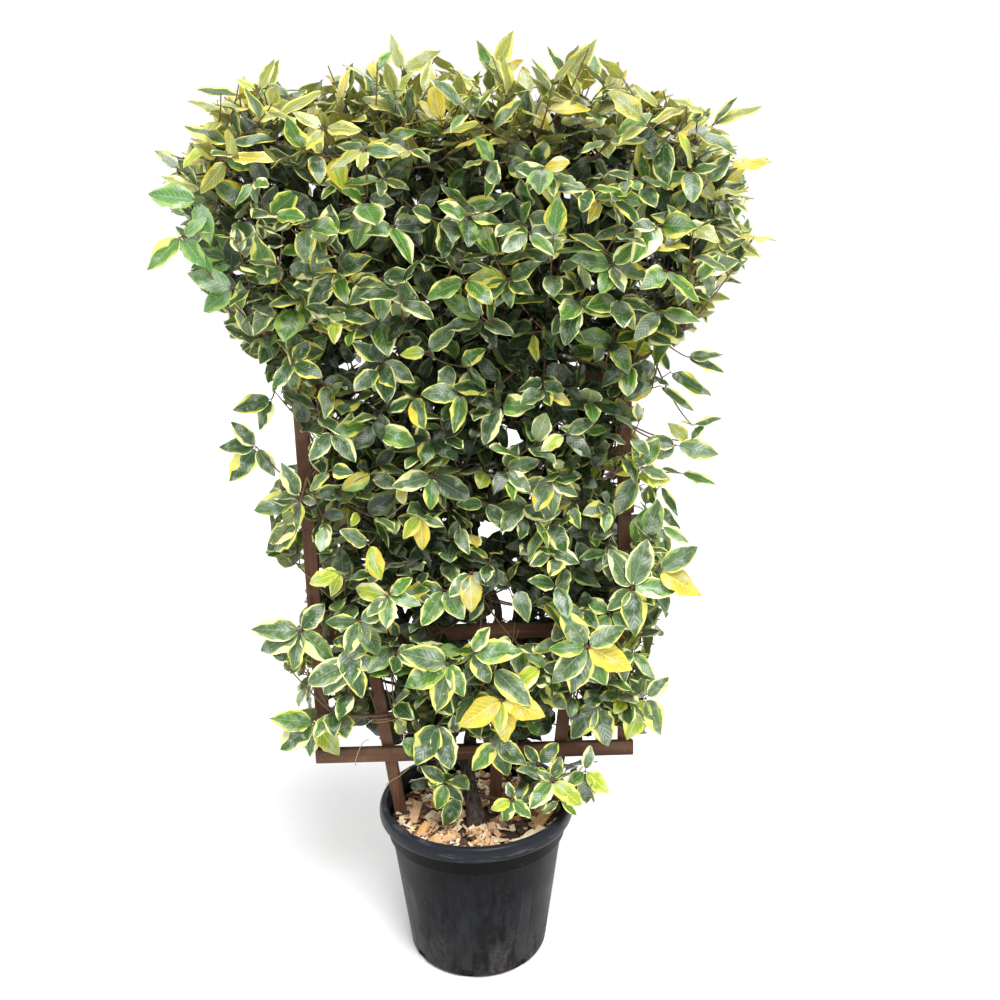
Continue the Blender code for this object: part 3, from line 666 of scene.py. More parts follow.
def trellisPlace(across, rise, depth, slope=0.0):
    lean = Matrix.Rotation(math.radians(trellisSet["lean"]), 4, "Y")
    turn = Matrix.Rotation(math.atan(slope), 4, "Y")
    return Matrix.Translation(trellisSet["foot"]) @ lean @ Matrix.Translation((across, depth, rise)) @ turn


def lathNodes():
    kinds = ("leg_", "upright_", "crosspiece_")
    return {name: node for name, node in nodes.items() if name.startswith(kinds)}


def dressLaths():
    upright = lathMaterial("stained lath, upright", "upright")
    across = lathMaterial("stained lath, across", "across")
    for name, node in lathNodes().items():
        node.data.materials.clear()
        node.data.materials.append(across if name.startswith("crosspiece_") else upright)


nailSet = {
    "radius": 0.0026,
    "taper": 0.8,
    "head": 0.0011,
    "edge": 0.0002,
    "sides": 16,
    "inset": 0.006,
    "skew": 0.4,
    "proud": 0.0003,
    "steel": (0.13, 0.115, 0.105),
    "rust": (0.20, 0.085, 0.040),
}


def nailMaterial():
    material, tree, shader = startMaterial("rusted nail", 0.55, Metallic=0.8)
    rusty = greyRamp(tree, noiseOf(tree, objectPlace(tree), 900.0, 3.0), 0.4, 0.6)
    colorInto(tree, shader, mixOf(tree, rusty, nailSet["steel"], nailSet["rust"]))
    return material


def nailSpots(rise):
    # how far across the nails of one crosspiece stand
    spots = []
    for side in (-1, 1):
        leg = trellisSet["legApart"] / 2 + trellisSet["legSlope"] * rise
        spots += [side * trellisSet["apart"] / 2, side * leg]
    if rise < trellisSet["stakeTop"]:
        spots.append(trellisSet["stake"][0] + trellisSet["stake"][1] * rise)
    return spots


def makeNails():
    bm = bmesh.new()
    front = -trellisSet["thick"] - nailSet["proud"]
    wide = nailSet["radius"]
    shape = {
        "segments": nailSet["sides"],
        "radius1": wide,
        "radius2": wide * nailSet["taper"],
        "depth": nailSet["head"],
        "cap_ends": True,
    }
    flat = Matrix.Rotation(math.radians(90), 4, "X")
    for rise in trellisSet["crossRises"]:
        for spot in nailSpots(rise):
            for lift in (-nailSet["inset"], nailSet["inset"]):
                place = trellisPlace(spot + lift * nailSet["skew"], rise + lift, front) @ flat
                made = bmesh.ops.create_cone(bm, matrix=place, **shape)
                edges = [edge for vert in made["verts"] for edge in vert.link_edges]
                bevelEdges(bm, set(edges), nailSet["edge"], 2)
    newPiece("nails", meshOf(bm, "nails", 50), nailMaterial())


tieSet = {"radius": 0.0009, "sides": 5, "color": (0.62, 0.47, 0.24)}
# the points along each strand of straw
strands = (
    (
        (-0.130, -0.006, 0.505), (-0.160, -0.004, 0.492), (-0.172, -0.003, 0.488),
        (-0.204, -0.0025, 0.484), (-0.207, 0.013, 0.484), (-0.172, 0.0145, 0.489),
        (-0.170, -0.004, 0.493), (-0.203, -0.0035, 0.490), (-0.206, 0.013, 0.491),
        (-0.172, 0.015, 0.494), (-0.166, 0.002, 0.483), (-0.150, -0.014, 0.470),
    ),
    (
        (-0.214, -0.020, 0.456), (-0.226, -0.016, 0.448), (-0.235, -0.0142, 0.432),
        (-0.243, -0.0146, 0.410), (-0.2445, -0.0152, 0.396),
    ),
    (
        (0.076, -0.020, 0.655), (0.079, -0.0142, 0.664), (0.082, -0.0142, 0.690),
        (0.083, -0.004, 0.6945), (0.083, 0.003, 0.690), (0.082, 0.003, 0.666), (0.080, -0.006, 0.6585),
        (0.084, -0.0145, 0.664), (0.090, -0.018, 0.684),
    ),
    (
        (-0.186, -0.006, 0.347), (-0.174, -0.004, 0.356), (-0.157, -0.004, 0.366),
        (-0.136, -0.012, 0.388),
    ),
)


def strawMaterial():
    material, tree, shader = startMaterial("straw tie", 0.8)
    fibre = noiseOf(tree, objectPlace(tree), 420.0, 4.0)
    pale, dark = tieSet["color"], tuple(value * 0.55 for value in tieSet["color"])
    colorInto(tree, shader, mixOf(tree, greyRamp(tree, fibre, 0.3, 0.7), dark, pale))
    bumpInto(tree, shader, fibre, 0.5, 0.0004)
    return material


def makeTies():
    bm = bmesh.new()
    for strand in strands:
        path = smoothPath(strand, 4)
        growTube(bm, path, [tieSet["radius"]] * len(path), tieSet["sides"])
    bmesh.ops.recalc_face_normals(bm, faces=bm.faces)
    newPiece("straw_ties", meshOf(bm, "straw_ties"), strawMaterial())


dressLaths()
makeNails()
makeTies()
print("trellis done")

# trunk and boughs, one mesh of barked tubes

trunkSet = {
    "points": (
        (0.002, -0.033, 0.255),
        (-0.003, -0.022, 0.295),
        (-0.014, -0.004, 0.345),
        (-0.017, 0.014, 0.390),
        (-0.006, 0.021, 0.460),
        (0.012, 0.024, 0.540),
        (0.027, 0.026, 0.615),
    ),
    "radii": (0.0175, 0.0085),
    "flare": 0.0215,
    "flareHeight": 0.030,
}
boughSet = {
    "left_outer": {
        "points": (
            (-0.024, 0.012, 0.385), (-0.070, 0.024, 0.430), (-0.108, 0.029, 0.530),
            (-0.140, 0.031, 0.680), (-0.195, 0.032, 0.850), (-0.275, 0.033, 1.060),
            (-0.345, 0.034, 1.260), (-0.395, 0.034, 1.440),
        ),
        "radii": (0.0100, 0.0045),
    },
    "left_inner": {
        "points": (
            (-0.140, 0.031, 0.680), (-0.112, 0.036, 0.760), (-0.104, 0.037, 0.920),
            (-0.120, 0.037, 1.130), (-0.142, 0.037, 1.330), (-0.150, 0.037, 1.490),
        ),
        "radii": (0.0070, 0.0040),
    },
    "centre": {
        "points": (
            (0.027, 0.026, 0.6153), (0.050, 0.030, 0.700), (0.024, 0.035, 0.785),
            (0.000, 0.036, 0.920), (0.004, 0.036, 1.140), (0.012, 0.036, 1.350), (0.014, 0.036, 1.500),
        ),
        "radii": (0.0080, 0.0040),
    },
    "right_inner": {
        "points": (
            (0.014, 0.024, 0.550), (0.070, 0.033, 0.625), (0.090, 0.036, 0.730), (0.106, 0.036, 0.920),
            (0.134, 0.036, 1.140), (0.162, 0.036, 1.340), (0.175, 0.036, 1.490),
        ),
        "radii": (0.0075, 0.0040),
    },
    "right_outer": {
        "points": (
            (-0.006, 0.021, 0.460), (0.060, 0.031, 0.520), (0.128, 0.033, 0.610),
            (0.196, 0.034, 0.790), (0.262, 0.034, 1.010), (0.334, 0.034, 1.240), (0.388, 0.034, 1.430),
        ),
        "radii": (0.0095, 0.0045),
    },
}
barkSet = {
    "onPath": 9,
    "trunkSides": 30,
    "boughSides": 16,
    # unevenness: how much, how fine across and along the limb, and how the limbs differ
    "lump": (0.16, 2.6, 9, 7),
    "ridge": (0.16, 7, 38, 3),
}


def barkMaterial():
    material, tree, shader = startMaterial("grey brown bark", 0.9, Specular_IOR_Level=0.25)
    fibre = noiseOf(tree, objectPlace(tree, (170, 170, 26)), 1.0, 6.0, 0.7)
    patch = noiseOf(tree, objectPlace(tree), 34.0, 4.0)
    stops = ((0.34, (0.014, 0.010, 0.008)), (0.54, (0.088, 0.066, 0.054)), (0.78, (0.290, 0.240, 0.205)))
    base = rampOf(tree, fibre, stops)
    base = mixOf(tree, greyRamp(tree, patch, 0.5, 0.7, 0.0, 0.6), base, (0.098, 0.083, 0.071))
    colorInto(tree, shader, base)
    bumpInto(tree, shader, fibre, 1.0, 0.0035)
    return material


def uneven(kind, out, height, number):
    amount, across, along, apart = barkSet[kind]
    return noise.noise(Vector((out.x * across, out.y * across, height * along + number * apart))) * amount


def makeBark():
    bm = bmesh.new()
    path = smoothPath(trunkSet["points"], barkSet["onPath"])
    radii = taperAlong(len(path), trunkSet["radii"])
    flare = trunkSet["flare"] - trunkSet["radii"][0]
    for index, point in enumerate(path):
        rise = max(point.z - soilLevel, 0.0)
        radii[index] += flare * math.exp(-rise / trunkSet["flareHeight"] * 2)
    limbs = [(growTube(bm, path, radii, barkSet["trunkSides"]), path, radii)]
    for bough in boughSet.values():
        path = smoothPath(bough["points"], barkSet["onPath"])
        radii = taperAlong(len(path), bough["radii"])
        limbs.append((growTube(bm, path, radii, barkSet["boughSides"]), path, radii))
    for number, (rings, path, radii) in enumerate(limbs):
        for ring, middle, radius in zip(rings, path, radii):
            for vert in ring:
                out = (vert.co - middle).normalized()
                grow = uneven("lump", out, middle.z, number) + uneven("ridge", out, middle.z, number)
                vert.co = middle + out * radius * (1 + grow)
    bmesh.ops.recalc_face_normals(bm, faces=bm.faces)
    names = ("trunk", *(f"bough_{name}" for name in boughSet))
    return newPiece("barked_limbs", meshOf(bm, "barked_limbs", 80), barkMaterial(), names)


bark = makeBark()
print("bark done")

# crown: the same rows of masses as the solids, each filled with finer shoots

crownSet = {
    "outline": (  # height, half width, reach to the front, reach to the back
        (0.420, 0.370, 0.120, 0.130),
        (0.620, 0.410, 0.145, 0.150),
        (0.980, 0.420, 0.150, 0.160),
        (1.200, 0.455, 0.185, 0.185),
        (1.430, 0.575, 0.265, 0.245),
        (1.570, 0.550, 0.265, 0.245),
        (1.670, 0.500, 0.230, 0.220),
        (1.770, 0.270, 0.130, 0.130),
    ),
    "square": 4,
    "endDepth": 0.38,
    "topDepth": 0.52,
    "frontRows": ((0.545, 3), (0.775, 3), (1.015, 3), (1.275, 4), (1.585, 4)),
    "backRows": ((0.570, 2), (0.830, 2), (1.080, 2), (1.335, 3), (1.600, 3)),
    "layerOut": 0.52,
    "rowShift": 0.030,
    "sprays": {
        "foliage_rim_right": {"middle": (0.150, -0.075, 0.365), "reach": (0.125, 0.100, 0.095)},
        "foliage_low_left": {"middle": (-0.085, -0.050, 0.375), "reach": (0.075, 0.060, 0.080)},
    },
    "notches": {"over": 1.28, "deep": 0.060, "each": 0.018},
    "lathClear": 0.004,
    # seen from the front, in millimetres: height, left edge, right edge
    "sides": (
        (272, -77, 235), (351, -147, 264), (397, -233, 255), (415, -375, 329), (453, -398, 356),
        (503, -382, 368), (546, -356, 367), (589, -379, 364), (632, -402, 357), (674, -420, 384),
        (715, -346, 383), (760, -335, 425), (801, -358, 424), (838, -405, 391), (882, -394, 382),
        (942, -398, 365), (1001, -375, 341), (1039, -339, 348), (1087, -336, 324), (1134, -348, 338),
        (1163, -373, 350), (1209, -396, 363), (1246, -438, 414), (1297, -465, 464), (1336, -505, 476),
        (1386, -513, 520), (1425, -528, 529), (1460, -543, 513), (1512, -544, 514), (1563, -529, 497),
        (1613, -494, 474), (1663, -455, 419), (1696, -405, 338), (1728, -249, 285), (1744, -135, 262),
        (1764, -38, 171),
    ),
    # seen from the front in millimetres, where sky shows: left, right, bottom, top
    "windows": (
        (-163, -114, 693, 736), (29, 86, 696, 772), (153, 170, 738, 764), (-184, -141, 551, 582),
        (-299, -279, 518, 554), (-256, -197, 441, 475), (-137, -124, 454, 472), (-33, -17, 446, 477),
        (85, 95, 455, 479), (152, 177, 437, 507), (205, 223, 511, 541), (246, 292, 451, 494),
        (-158, -133, 370, 390), (61, 79, 1057, 1139), (96, 109, 1114, 1129), (88, 102, 1097, 1105),
        (58, 101, 1046, 1067), (9, 54, 868, 897), (69, 85, 831, 869), (106, 116, 855, 873),
        (120, 135, 938, 958), (147, 160, 856, 876), (-300, -289, 1119, 1147), (-305, -280, 997, 1008),
        (-253, -220, 1188, 1219), (-199, -181, 1195, 1222), (-147, -121, 1192, 1243),
        (247, 273, 970, 1008), (-376, -336, 1021, 1086), (-460, -333, 724, 806), (301, 343, 1070, 1090),
        (304, 326, 898, 953), (322, 373, 1194, 1223), (-84, -73, 1533, 1547), (-365, -339, 1535, 1551),
        (-413, -390, 1516, 1533), (-450, -419, 1435, 1456), (-409, -386, 1445, 1463),
        (-332, -306, 1429, 1446), (-290, -271, 1503, 1523), (-366, -346, 1389, 1406),
        (-424, -401, 1365, 1382), (364, 388, 1526, 1543), (347, 376, 1373, 1391), (313, 330, 1630, 1646),
        (356, 377, 1606, 1626), (363, 380, 1572, 1592), (-409, -390, 1628, 1641),
        (-327, -305, 1653, 1666), (78, 94, 1685, 1702), (113, 130, 1650, 1668), (157, 190, 1630, 1653),
        (152, 173, 1690, 1724), (217, 234, 1666, 1689), (-130, -115, 1636, 1653), (296, 312, 1570, 1585),
        (264, 279, 1551, 1563), (-179, -140, 1734, 1850), (-95, -31, 1752, 1850), (-33, 25, 1719, 1850),
        (108, 138, 1731, 1850), (243, 272, 1720, 1850), (273, 303, 1705, 1850), (305, 348, 1676, 1850),
        (-318, -253, 1686, 1850),
    ),
    # in millimetres, where laths show in front of the leaves behind them: left, right, bottom, top
    "lathShows": (
        (-324, -138, 395, 441), (-35, 3, 393, 439), (78, 173, 394, 437), (173, 320, 394, 441),
        (-87, 149, 658, 690), (-344, -317, 946, 1091), (-337, -312, 814, 906), (-337, -296, 699, 810),
        (-333, -296, 490, 661), (-209, -167, 440, 574), (-191, -145, 276, 390), (283, 307, 1032, 1077),
        (284, 309, 838, 932), (25, 56, 265, 387),
    ),
}


def metres(values):
    return tuple(value / 1000 for value in values)


sideStations, skyWindows, lathWindows = (
    [metres(row) for row in crownSet[table]] for table in ("sides", "windows", "lathShows")
)


def reaches(height):
    stations = crownSet["outline"]
    if height <= stations[0][0]:
        return stations[0][1:]
    for low, high in zip(stations, stations[1:]):
        if height <= high[0]:
            share = (height - low[0]) / (high[0] - low[0])
            return tuple(a + (b - a) * share for a, b in zip(low[1:], high[1:]))
    return stations[-1][1:]


def crownLevel(point):
    if not crownSet["outline"][0][0] < point.z < crownSet["outline"][-1][0]:
        return 2.0
    wide, front, back = reaches(point.z)
    deep = front if point.y < 0 else back
    return abs(point.x / wide) ** crownSet["square"] + abs(point.y / deep) ** crownSet["square"]


def crownFace(point):
    # how far the crown reaches to the front or back of the trellis there
    wide, front, back = reaches(point.z)
    bulge = max(1 - abs(point.x / wide) ** crownSet["square"], 0.0) ** (1 / crownSet["square"])
    return (front if point.y < 0 else back) * bulge


def depthIn(point):
    # how deep in the crown a point lies: 0 at its face, 1 at the trellis
    wide = reaches(point.z)[0]
    top = crownSet["outline"][-1][0]
    fromFace = 1 - abs(point.y) / max(crownFace(point), 0.01)
    return min(fromFace, (wide - abs(point.x)) / crownSet["endDepth"], (top - point.z) / crownSet["topDepth"])


def sprayLevel(point, spray):
    return sum((abs(point[axis] - spray["middle"][axis]) / spray["reach"][axis]) ** 2 for axis in range(3))


def massMiddles():
    middles = {}
    for layer, rows in (("front", crownSet["frontRows"]), ("back", crownSet["backRows"])):
        for row, (height, count) in enumerate(rows):
            wide, front, back = reaches(height)
            deep = -front if layer == "front" else back
            shift = crownSet["rowShift"] * (0.5 if row % 2 else -0.5)
            for column in range(count):
                across = wide * ((2 * column + 1) / count - 1) + shift
                name = f"foliage_{layer}_{row + 1}_{column + 1}"
                middles[name] = Vector((across, deep * crownSet["layerOut"], height))
    for name, spray in crownSet["sprays"].items():
        middles[name] = Vector(spray["middle"])
    return middles


def seenAt(point):
    # where a point shows on the trellis plane, seen from the camera
    eye = Vector(cameraSet["place"])
    way = point - eye
    return eye + way * (-eye.y / way.y)


def inBox(seen, box, grow=0.0):
    left, right, bottom, top = box
    return left - grow < seen.x < right + grow and bottom - grow < seen.z < top + grow


def notchAt(height, seed):
    # the sky between two shoots at the wide upper crown's ends
    notches = crownSet["notches"]
    if height < notches["over"]:
        return 0.0
    return notches["deep"] * max(noise.noise(Vector((height / notches["each"], seed, 0.5))), 0.0)


def sideEdges(height):
    for low, high in zip(sideStations, sideStations[1:]):
        if low[0] <= height <= high[0]:
            share = (height - low[0]) / (high[0] - low[0])
            left, right = (low[side] + (high[side] - low[side]) * share for side in (1, 2))
            return left + notchAt(height, 0.3), right - notchAt(height, 7.7)
    return 1.0, -1.0


def showsWell(points):
    for point in points:
        seen = seenAt(point)
        left, right = sideEdges(seen.z)
        if not left < seen.x < right:
            return False
        if any(inBox(seen, box) for box in skyWindows):
            return False
        if point.y < 0 and any(inBox(seen, box, crownSet["lathClear"]) for box in lathWindows):
            return False
    return True


tipSet = {
    "found": 420,
    "tries": 60000,
    "spread": (0.30, 0.17, 0.24),
    "under": 1.715,
    "clear": 0.030,
    "step": 0.01,
    "steepest": 8,
    "rise": 0.55,
}


class Space:
    # what one mass fills: nearer its own middle than any other, inside the outline

    def __init__(self, name, middles):
        self.middle = middles[name]
        self.others = [middle for other, middle in middles.items() if other != name]
        self.spray = crownSet["sprays"].get(name)

    def level(self, point):
        return sprayLevel(point, self.spray) if self.spray else crownLevel(point)

    def holds(self, point):
        own = (point - self.middle).length
        return self.level(point) < 1.0 and all(own < (point - other).length for other in self.others)

    def outward(self, point):
        step = tipSet["step"]
        level = self.level(point)
        axes = ((1, 0, 0), (0, 1, 0), (0, 0, 1))
        slope = [self.level(point + Vector(axis) * step) - level for axis in axes]
        slope = Vector([max(-1.0, min(1.0, value / step / tipSet["steepest"])) for value in slope])
        side = Vector((0.0, -1.0 if self.middle.y < 0 else 1.0, tipSet["rise"]))
        return (slope + side).normalized()

    def takes(self, point):
        # whether a shoot may end there
        if point.z > tipSet["under"] or not self.holds(point):
            return False
        return self.level(point + self.outward(point) * tipSet["clear"]) < 1.0 and showsWell([point])

    def tips(self, count, rng):
        # where the shoots end, well apart from each other
        found = []
        tries = 0
        while len(found) < tipSet["found"] and tries < tipSet["tries"]:
            tries += 1
            point = self.middle + Vector([rng.uniform(-1, 1) * reach for reach in tipSet["spread"]])
            if self.takes(point):
                found.append(point)
        chosen = [min(found, key=lambda point: (point - self.middle).length)]
        while len(chosen) < min(count, len(found)):
            chosen.append(max(found, key=lambda point: min((point - other).length for other in chosen)))
        return chosen


leafSet = {
    "long": (0.043, 0.072),
    "wide": (0.52, 0.66),  # share of the length
    "highLong": (0.044, 0.070),
    "highWide": (0.40, 0.56),
    "keel": (0.10, 0.36),
    "droop": (0.04, 0.28),
    "wave": (0.014, 0.045),
    "stations": (0.0, 0.05, 0.15, 0.27, 0.40, 0.53, 0.66, 0.78, 0.89, 1.0),
    "baseCurve": (0.52, 0.68),
    "tipCurve": (0.74, 1.00),
    "shoots": 24,
    "sprayShoots": 16,
    "onShoot": 10,
    "turn": 137.5,
    "spread": (30, 80),
    "uprightOver": 1.63,
    "sideOver": (0.37, 1.28),
    "sideways": 0.65,
    "uprightSpread": (26, 86),
    "smallOdds": 0.15,
    "small": 0.75,
    "stalk": 0.006,
    "stalkRadii": (0.0013, 0.0010, 0.0009),
    "lift": 0.0004,
    "overLevel": 1.12,
    "front": -0.272,
    "back": 0.250,
    "bottom": 0.285,
    "top": 1.768,
    "cell": 0.085,
}
tintSet = {
    # core, zone round it
    "deep": ((0.035, 0.083, 0.020), (0.108, 0.194, 0.034)),
    "blue": ((0.072, 0.128, 0.046), (0.165, 0.250, 0.066)),
    "fresh": ((0.072, 0.168, 0.026), (0.215, 0.330, 0.042)),
    "plain": ((0.095, 0.215, 0.055), (0.130, 0.270, 0.065)),
    "olive": ((0.255, 0.280, 0.056), (0.410, 0.415, 0.084)),
    "lime": ((0.330, 0.430, 0.030), (0.550, 0.580, 0.060)),
    "golden": ((0.510, 0.420, 0.052), (0.600, 0.480, 0.045)),
    "rust": ((0.300, 0.105, 0.025), (0.420, 0.190, 0.045)),
}
# painted shade: leaves deep in the crown get near-black cores, dull margins and dusk undersides, and so do a
# few more in its dim middle under the wide upper crown
shadeSet = {
    "from": 0.27,
    "over": 0.36,
    "most": 0.92,
    "core": (0.014, 0.036, 0.009),
    "dimWide": 0.27,
    "dimRise": (0.95, 1.27),
    "dimLeast": 0.22,
}
marginSet = {
    "yellow": (0.785, 0.750, 0.160),
    "cream": (0.815, 0.820, 0.365),
    "gold": (0.640, 0.510, 0.050),
    "green": (0.260, 0.400, 0.100),
    "dull": (0.130, 0.160, 0.046),
    "ochre": (0.660, 0.600, 0.130),
}
# the dusk undersides are painted shade; the bronze ones are their own olive-bronze, lightened as painted
# light shining through the top leaves
underSet = {"silver": (0.235, 0.295, 0.128), "bronze": (0.390, 0.405, 0.094), "dusk": (0.060, 0.080, 0.030)}
# painted shade: the plain dark tint of the inner fill leaves behind the laths
innerShadeTint = (0.030, 0.062, 0.018)
# pale patches for the blade's silvery scales, partly a painted sheen
scalesAndSheenTint = (0.540, 0.600, 0.520)  # silvery scales on the blade
# how many leaves of each tint: young ones along the top, the others below
tintOdds = {
    "top": {"olive": 0.39, "deep": 0.04, "fresh": 0.15, "blue": 0.26, "lime": 0.04, "golden": 0.12},
    "topMargin": {"ochre": 0.28, "gold": 0.20, "yellow": 0.24, "cream": 0.28},
    "topUnder": {"bronze": 0.85, "silver": 0.15},
    "outer": {"deep": 0.345, "blue": 0.32, "fresh": 0.280, "lime": 0.030, "golden": 0.025},
    "outerMargin": {"yellow": 0.34, "cream": 0.52, "gold": 0.06, "green": 0.08},
}
dealSet = {
    "topFrom": 1.47,
    "topOver": 0.13,
    "endOdds": 0.5,
    "paleUnder": -0.40,
    "paleRise": (1.25, 1.50),
    "rustNear": 0.09,
    "rustOdds": 0.02,
}


def atSide(point):
    # the wide upper crown's ends, where the leaves lie level and point away
    across, height = leafSet["sideOver"]
    return abs(point.x) > across and point.z > height


def drawTint(group, rng):
    odds = tintOdds[group]
    return rng.choices(list(odds), list(odds.values()))[0]


def pickTints(point, rng):
    # tints of the core, the margin and the underside
    # painted shade: the deeper in the crown, the likelier a leaf takes the dark shade tints
    shade = min((depthIn(point) - shadeSet["from"]) / shadeSet["over"], shadeSet["most"])
    low, high = shadeSet["dimRise"]
    if low < point.z < high and abs(point.x) < shadeSet["dimWide"]:
        shade = max(shade, shadeSet["dimLeast"])
    if rng.random() < shade:
        return "shade", "dull", "dusk"
    low, high = dealSet["paleRise"]
    isPale = point.x < dealSet["paleUnder"] and low < point.z < high
    isTop = rng.random() < (point.z - dealSet["topFrom"]) / dealSet["topOver"]
    if isTop or not isPale and atSide(point) and rng.random() < dealSet["endOdds"]:
        return drawTint("top", rng), drawTint("topMargin", rng), drawTint("topUnder", rng)
    if isPale:
        return rng.choice(("blue", "plain")), rng.choice(("cream", "green")), "silver"
    if abs(point.y) < dealSet["rustNear"] and rng.random() < dealSet["rustOdds"]:
        return "rust", "gold", "bronze"
    return drawTint("outer", rng), drawTint("outerMargin", rng), "silver"


proxyFaces = ((0, 1, 4), (1, 2, 4), (2, 3, 4), (3, 0, 4))


def leafCorners(root, way, across, up, long, wide, droop):
    middle = root + way * long * 0.5 - up * droop * long * 0.2
    tip = root + way * long - up * droop * long
    half = across * wide * 0.45
    return [root, middle + half, tip, middle - half, middle]


def cellOf(point):
    return tuple(int(math.floor(value / leafSet["cell"])) for value in point)


def wobble(rng, amount):
    return Vector([rng.gauss(0, amount) for _ in range(3)])


def placeAlong(path, lengths, along):
    # the point that far along a path, and the way the path runs there
    span = max(i for i in range(len(lengths)) if lengths[i] <= along)
    span = min(span, len(path) - 2)
    share = (along - lengths[span]) / max(lengths[span + 1] - lengths[span], 1e-6)
    return path[span].lerp(path[span + 1], share), (path[span + 1] - path[span]).normalized()


shootSet = {
    "bareTip": 0.004,
    "apart": (0.010, 0.0016),  # between the first two leaves, and more for each one after
    "bareFoot": 0.012,
    "leanOver": 3.5,
    "leanJitter": 10,
    "tries": 5,
    "tryTurn": 0.5,
    "rise": -0.18,
    "highRise": 0.10,
    "spin": 0.22,
    "faceAlong": 0.9,
    "faceUp": 0.55,
    "endWay": (-0.15, 0.10),
    "endFace": (-1.5, -0.5),
    "edgeOn": 0.2,
    "fewest": 3,
    "innerFrom": 0.25,
}


class Foliage:
    # keeps every leaf and twig, and lets none of the leaves cross

    def __init__(self, solids):
        self.solids = solids
        self.leaves = []
        self.twigs = []
        self.near = {}
        self.proxies = []

    def neighbours(self, point):
        x, y, z = cellOf(point)
        for i in (-1, 0, 1):
            for j in (-1, 0, 1):
                for k in (-1, 0, 1):
                    yield from self.near.get((x + i, y + j, z + k), ())

    def tryLeaf(self, root, way, face, rng, space, inner):
        isHigh = root.z > leafSet["uprightOver"] or atSide(root)
        long = rng.uniform(*leafSet["highLong" if isHigh else "long"])
        long *= leafSet["small"] if rng.random() < leafSet["smallOdds"] else 1.0
        wide = long * rng.uniform(*leafSet["highWide" if isHigh else "wide"])
        droop = rng.uniform(*leafSet["droop"])
        across = face.cross(way).normalized()
        up = way.cross(across).normalized()
        stalk = root + way * leafSet["stalk"]
        tip = stalk + way * long - up * droop * long
        middle = (stalk + tip) / 2
        if not showsWell([middle, tip, middle + across * wide * 0.4, middle - across * wide * 0.4]):
            return False
        if space.level(middle) > leafSet["overLevel"] or not leafSet["bottom"] <= tip.z <= leafSet["top"]:
            return False
        if any(not leafSet["front"] < point.y < leafSet["back"] for point in (stalk, middle, tip)):
            return False
        # painted shade: inner fill leaves deep in the crown take the plain dark inner tint
        isInner = inner and depthIn(middle) > shootSet["innerFrom"]
        tints = ("inner",) * 3 if isInner else pickTints(middle, rng)
        return self.setLeaf(root, way, face, long, wide, droop, tints, rng)

    def setLeaf(self, root, way, face, long, wide, droop, tints, rng):
        across = face.cross(way).normalized()
        up = way.cross(across).normalized()
        stalk = root + way * leafSet["stalk"]
        corners = leafCorners(stalk, way, across, up, long, wide, droop)
        own = BVHTree.FromPolygons(corners, proxyFaces)
        middle = (corners[0] + corners[2]) / 2
        if any(own.overlap(tree) for tree in (*self.solids, *self.neighbours(middle))):
            return False
        self.near.setdefault(cellOf(middle), []).append(own)
        self.proxies.append(corners)
        keel = rng.uniform(*leafSet["keel"])
        wave = rng.uniform(*leafSet["wave"])
        shape = (long, wide, keel, droop, wave, rng.uniform(0, math.tau))
        self.leaves.append((stalk, way, across, up, shape, tints))
        path = [root - way * 0.001, root.lerp(stalk, 0.5) + up * 0.0006, stalk + way * 0.004]
        self.twigs.append((path, leafSet["stalkRadii"]))
        return True

    def growShoot(self, path, radii, space, rng, count, inner=False):
        grown = 0
        lengths = [0.0]
        for first, second in zip(path, path[1:]):
            lengths.append(lengths[-1] + (second - first).length)
        end = path[-1]
        isHigh = end.z > leafSet["uprightOver"]
        low, high = leafSet["uprightSpread" if isHigh else "spread"]
        first, more = shootSet["apart"]
        turn = rng.uniform(0, math.tau)
        for index in range(count):
            back = shootSet["bareTip"] + (first + more * index) * index
            along = lengths[-1] - back
            if along < shootSet["bareFoot"]:
                break
            root, way = placeAlong(path, lengths, along)
            side = way.orthogonal().normalized()
            stray = rng.uniform(-shootSet["leanJitter"], shootSet["leanJitter"])
            lean = math.radians(low + (high - low) * min(1.0, index / shootSet["leanOver"]) + stray)
            for attempt in range(shootSet["tries"]):
                another = attempt * shootSet["tryTurn"] * (-1) ** attempt
                angle = turn + math.radians(leafSet["turn"]) * index + another
                around = Matrix.Rotation(angle, 3, way) @ side
                leafWay = way * math.cos(lean) + around * math.sin(lean)
                rise = shootSet["highRise" if isHigh else "rise"]
                leafWay = (leafWay + Vector((0, 0, rise))).normalized()
                spin = wobble(rng, shootSet["spin"])
                face = way * shootSet["faceAlong"] + Vector((0, 0, shootSet["faceUp"]))
                face = (face + spin).normalized()
                if atSide(end):
                    away = math.copysign(leafSet["sideways"], end.x)
                    leafWay = (leafWay + Vector((away, *shootSet["endWay"]))).normalized()
                    face = (Vector((0, rng.uniform(*shootSet["endFace"]), 1)) + spin).normalized()
                if face.cross(leafWay).length < shootSet["edgeOn"]:
                    face = (face + space.outward(root)).normalized()
                if self.tryLeaf(root, leafWay, face, rng, space, inner):
                    grown += 1
                    break
        if grown >= shootSet["fewest"]:
            self.twigs.append((path, radii))
        else:
            self.takeBack(grown)

    def takeBack(self, grown):
        # a shoot with hardly a leaf isn't kept
        for _ in range(grown):
            self.leaves.pop()
            self.twigs.pop()
            middle = self.proxies.pop()
            spot = self.near[cellOf((middle[0] + middle[2]) / 2)]
            if spot:
                spot.pop()


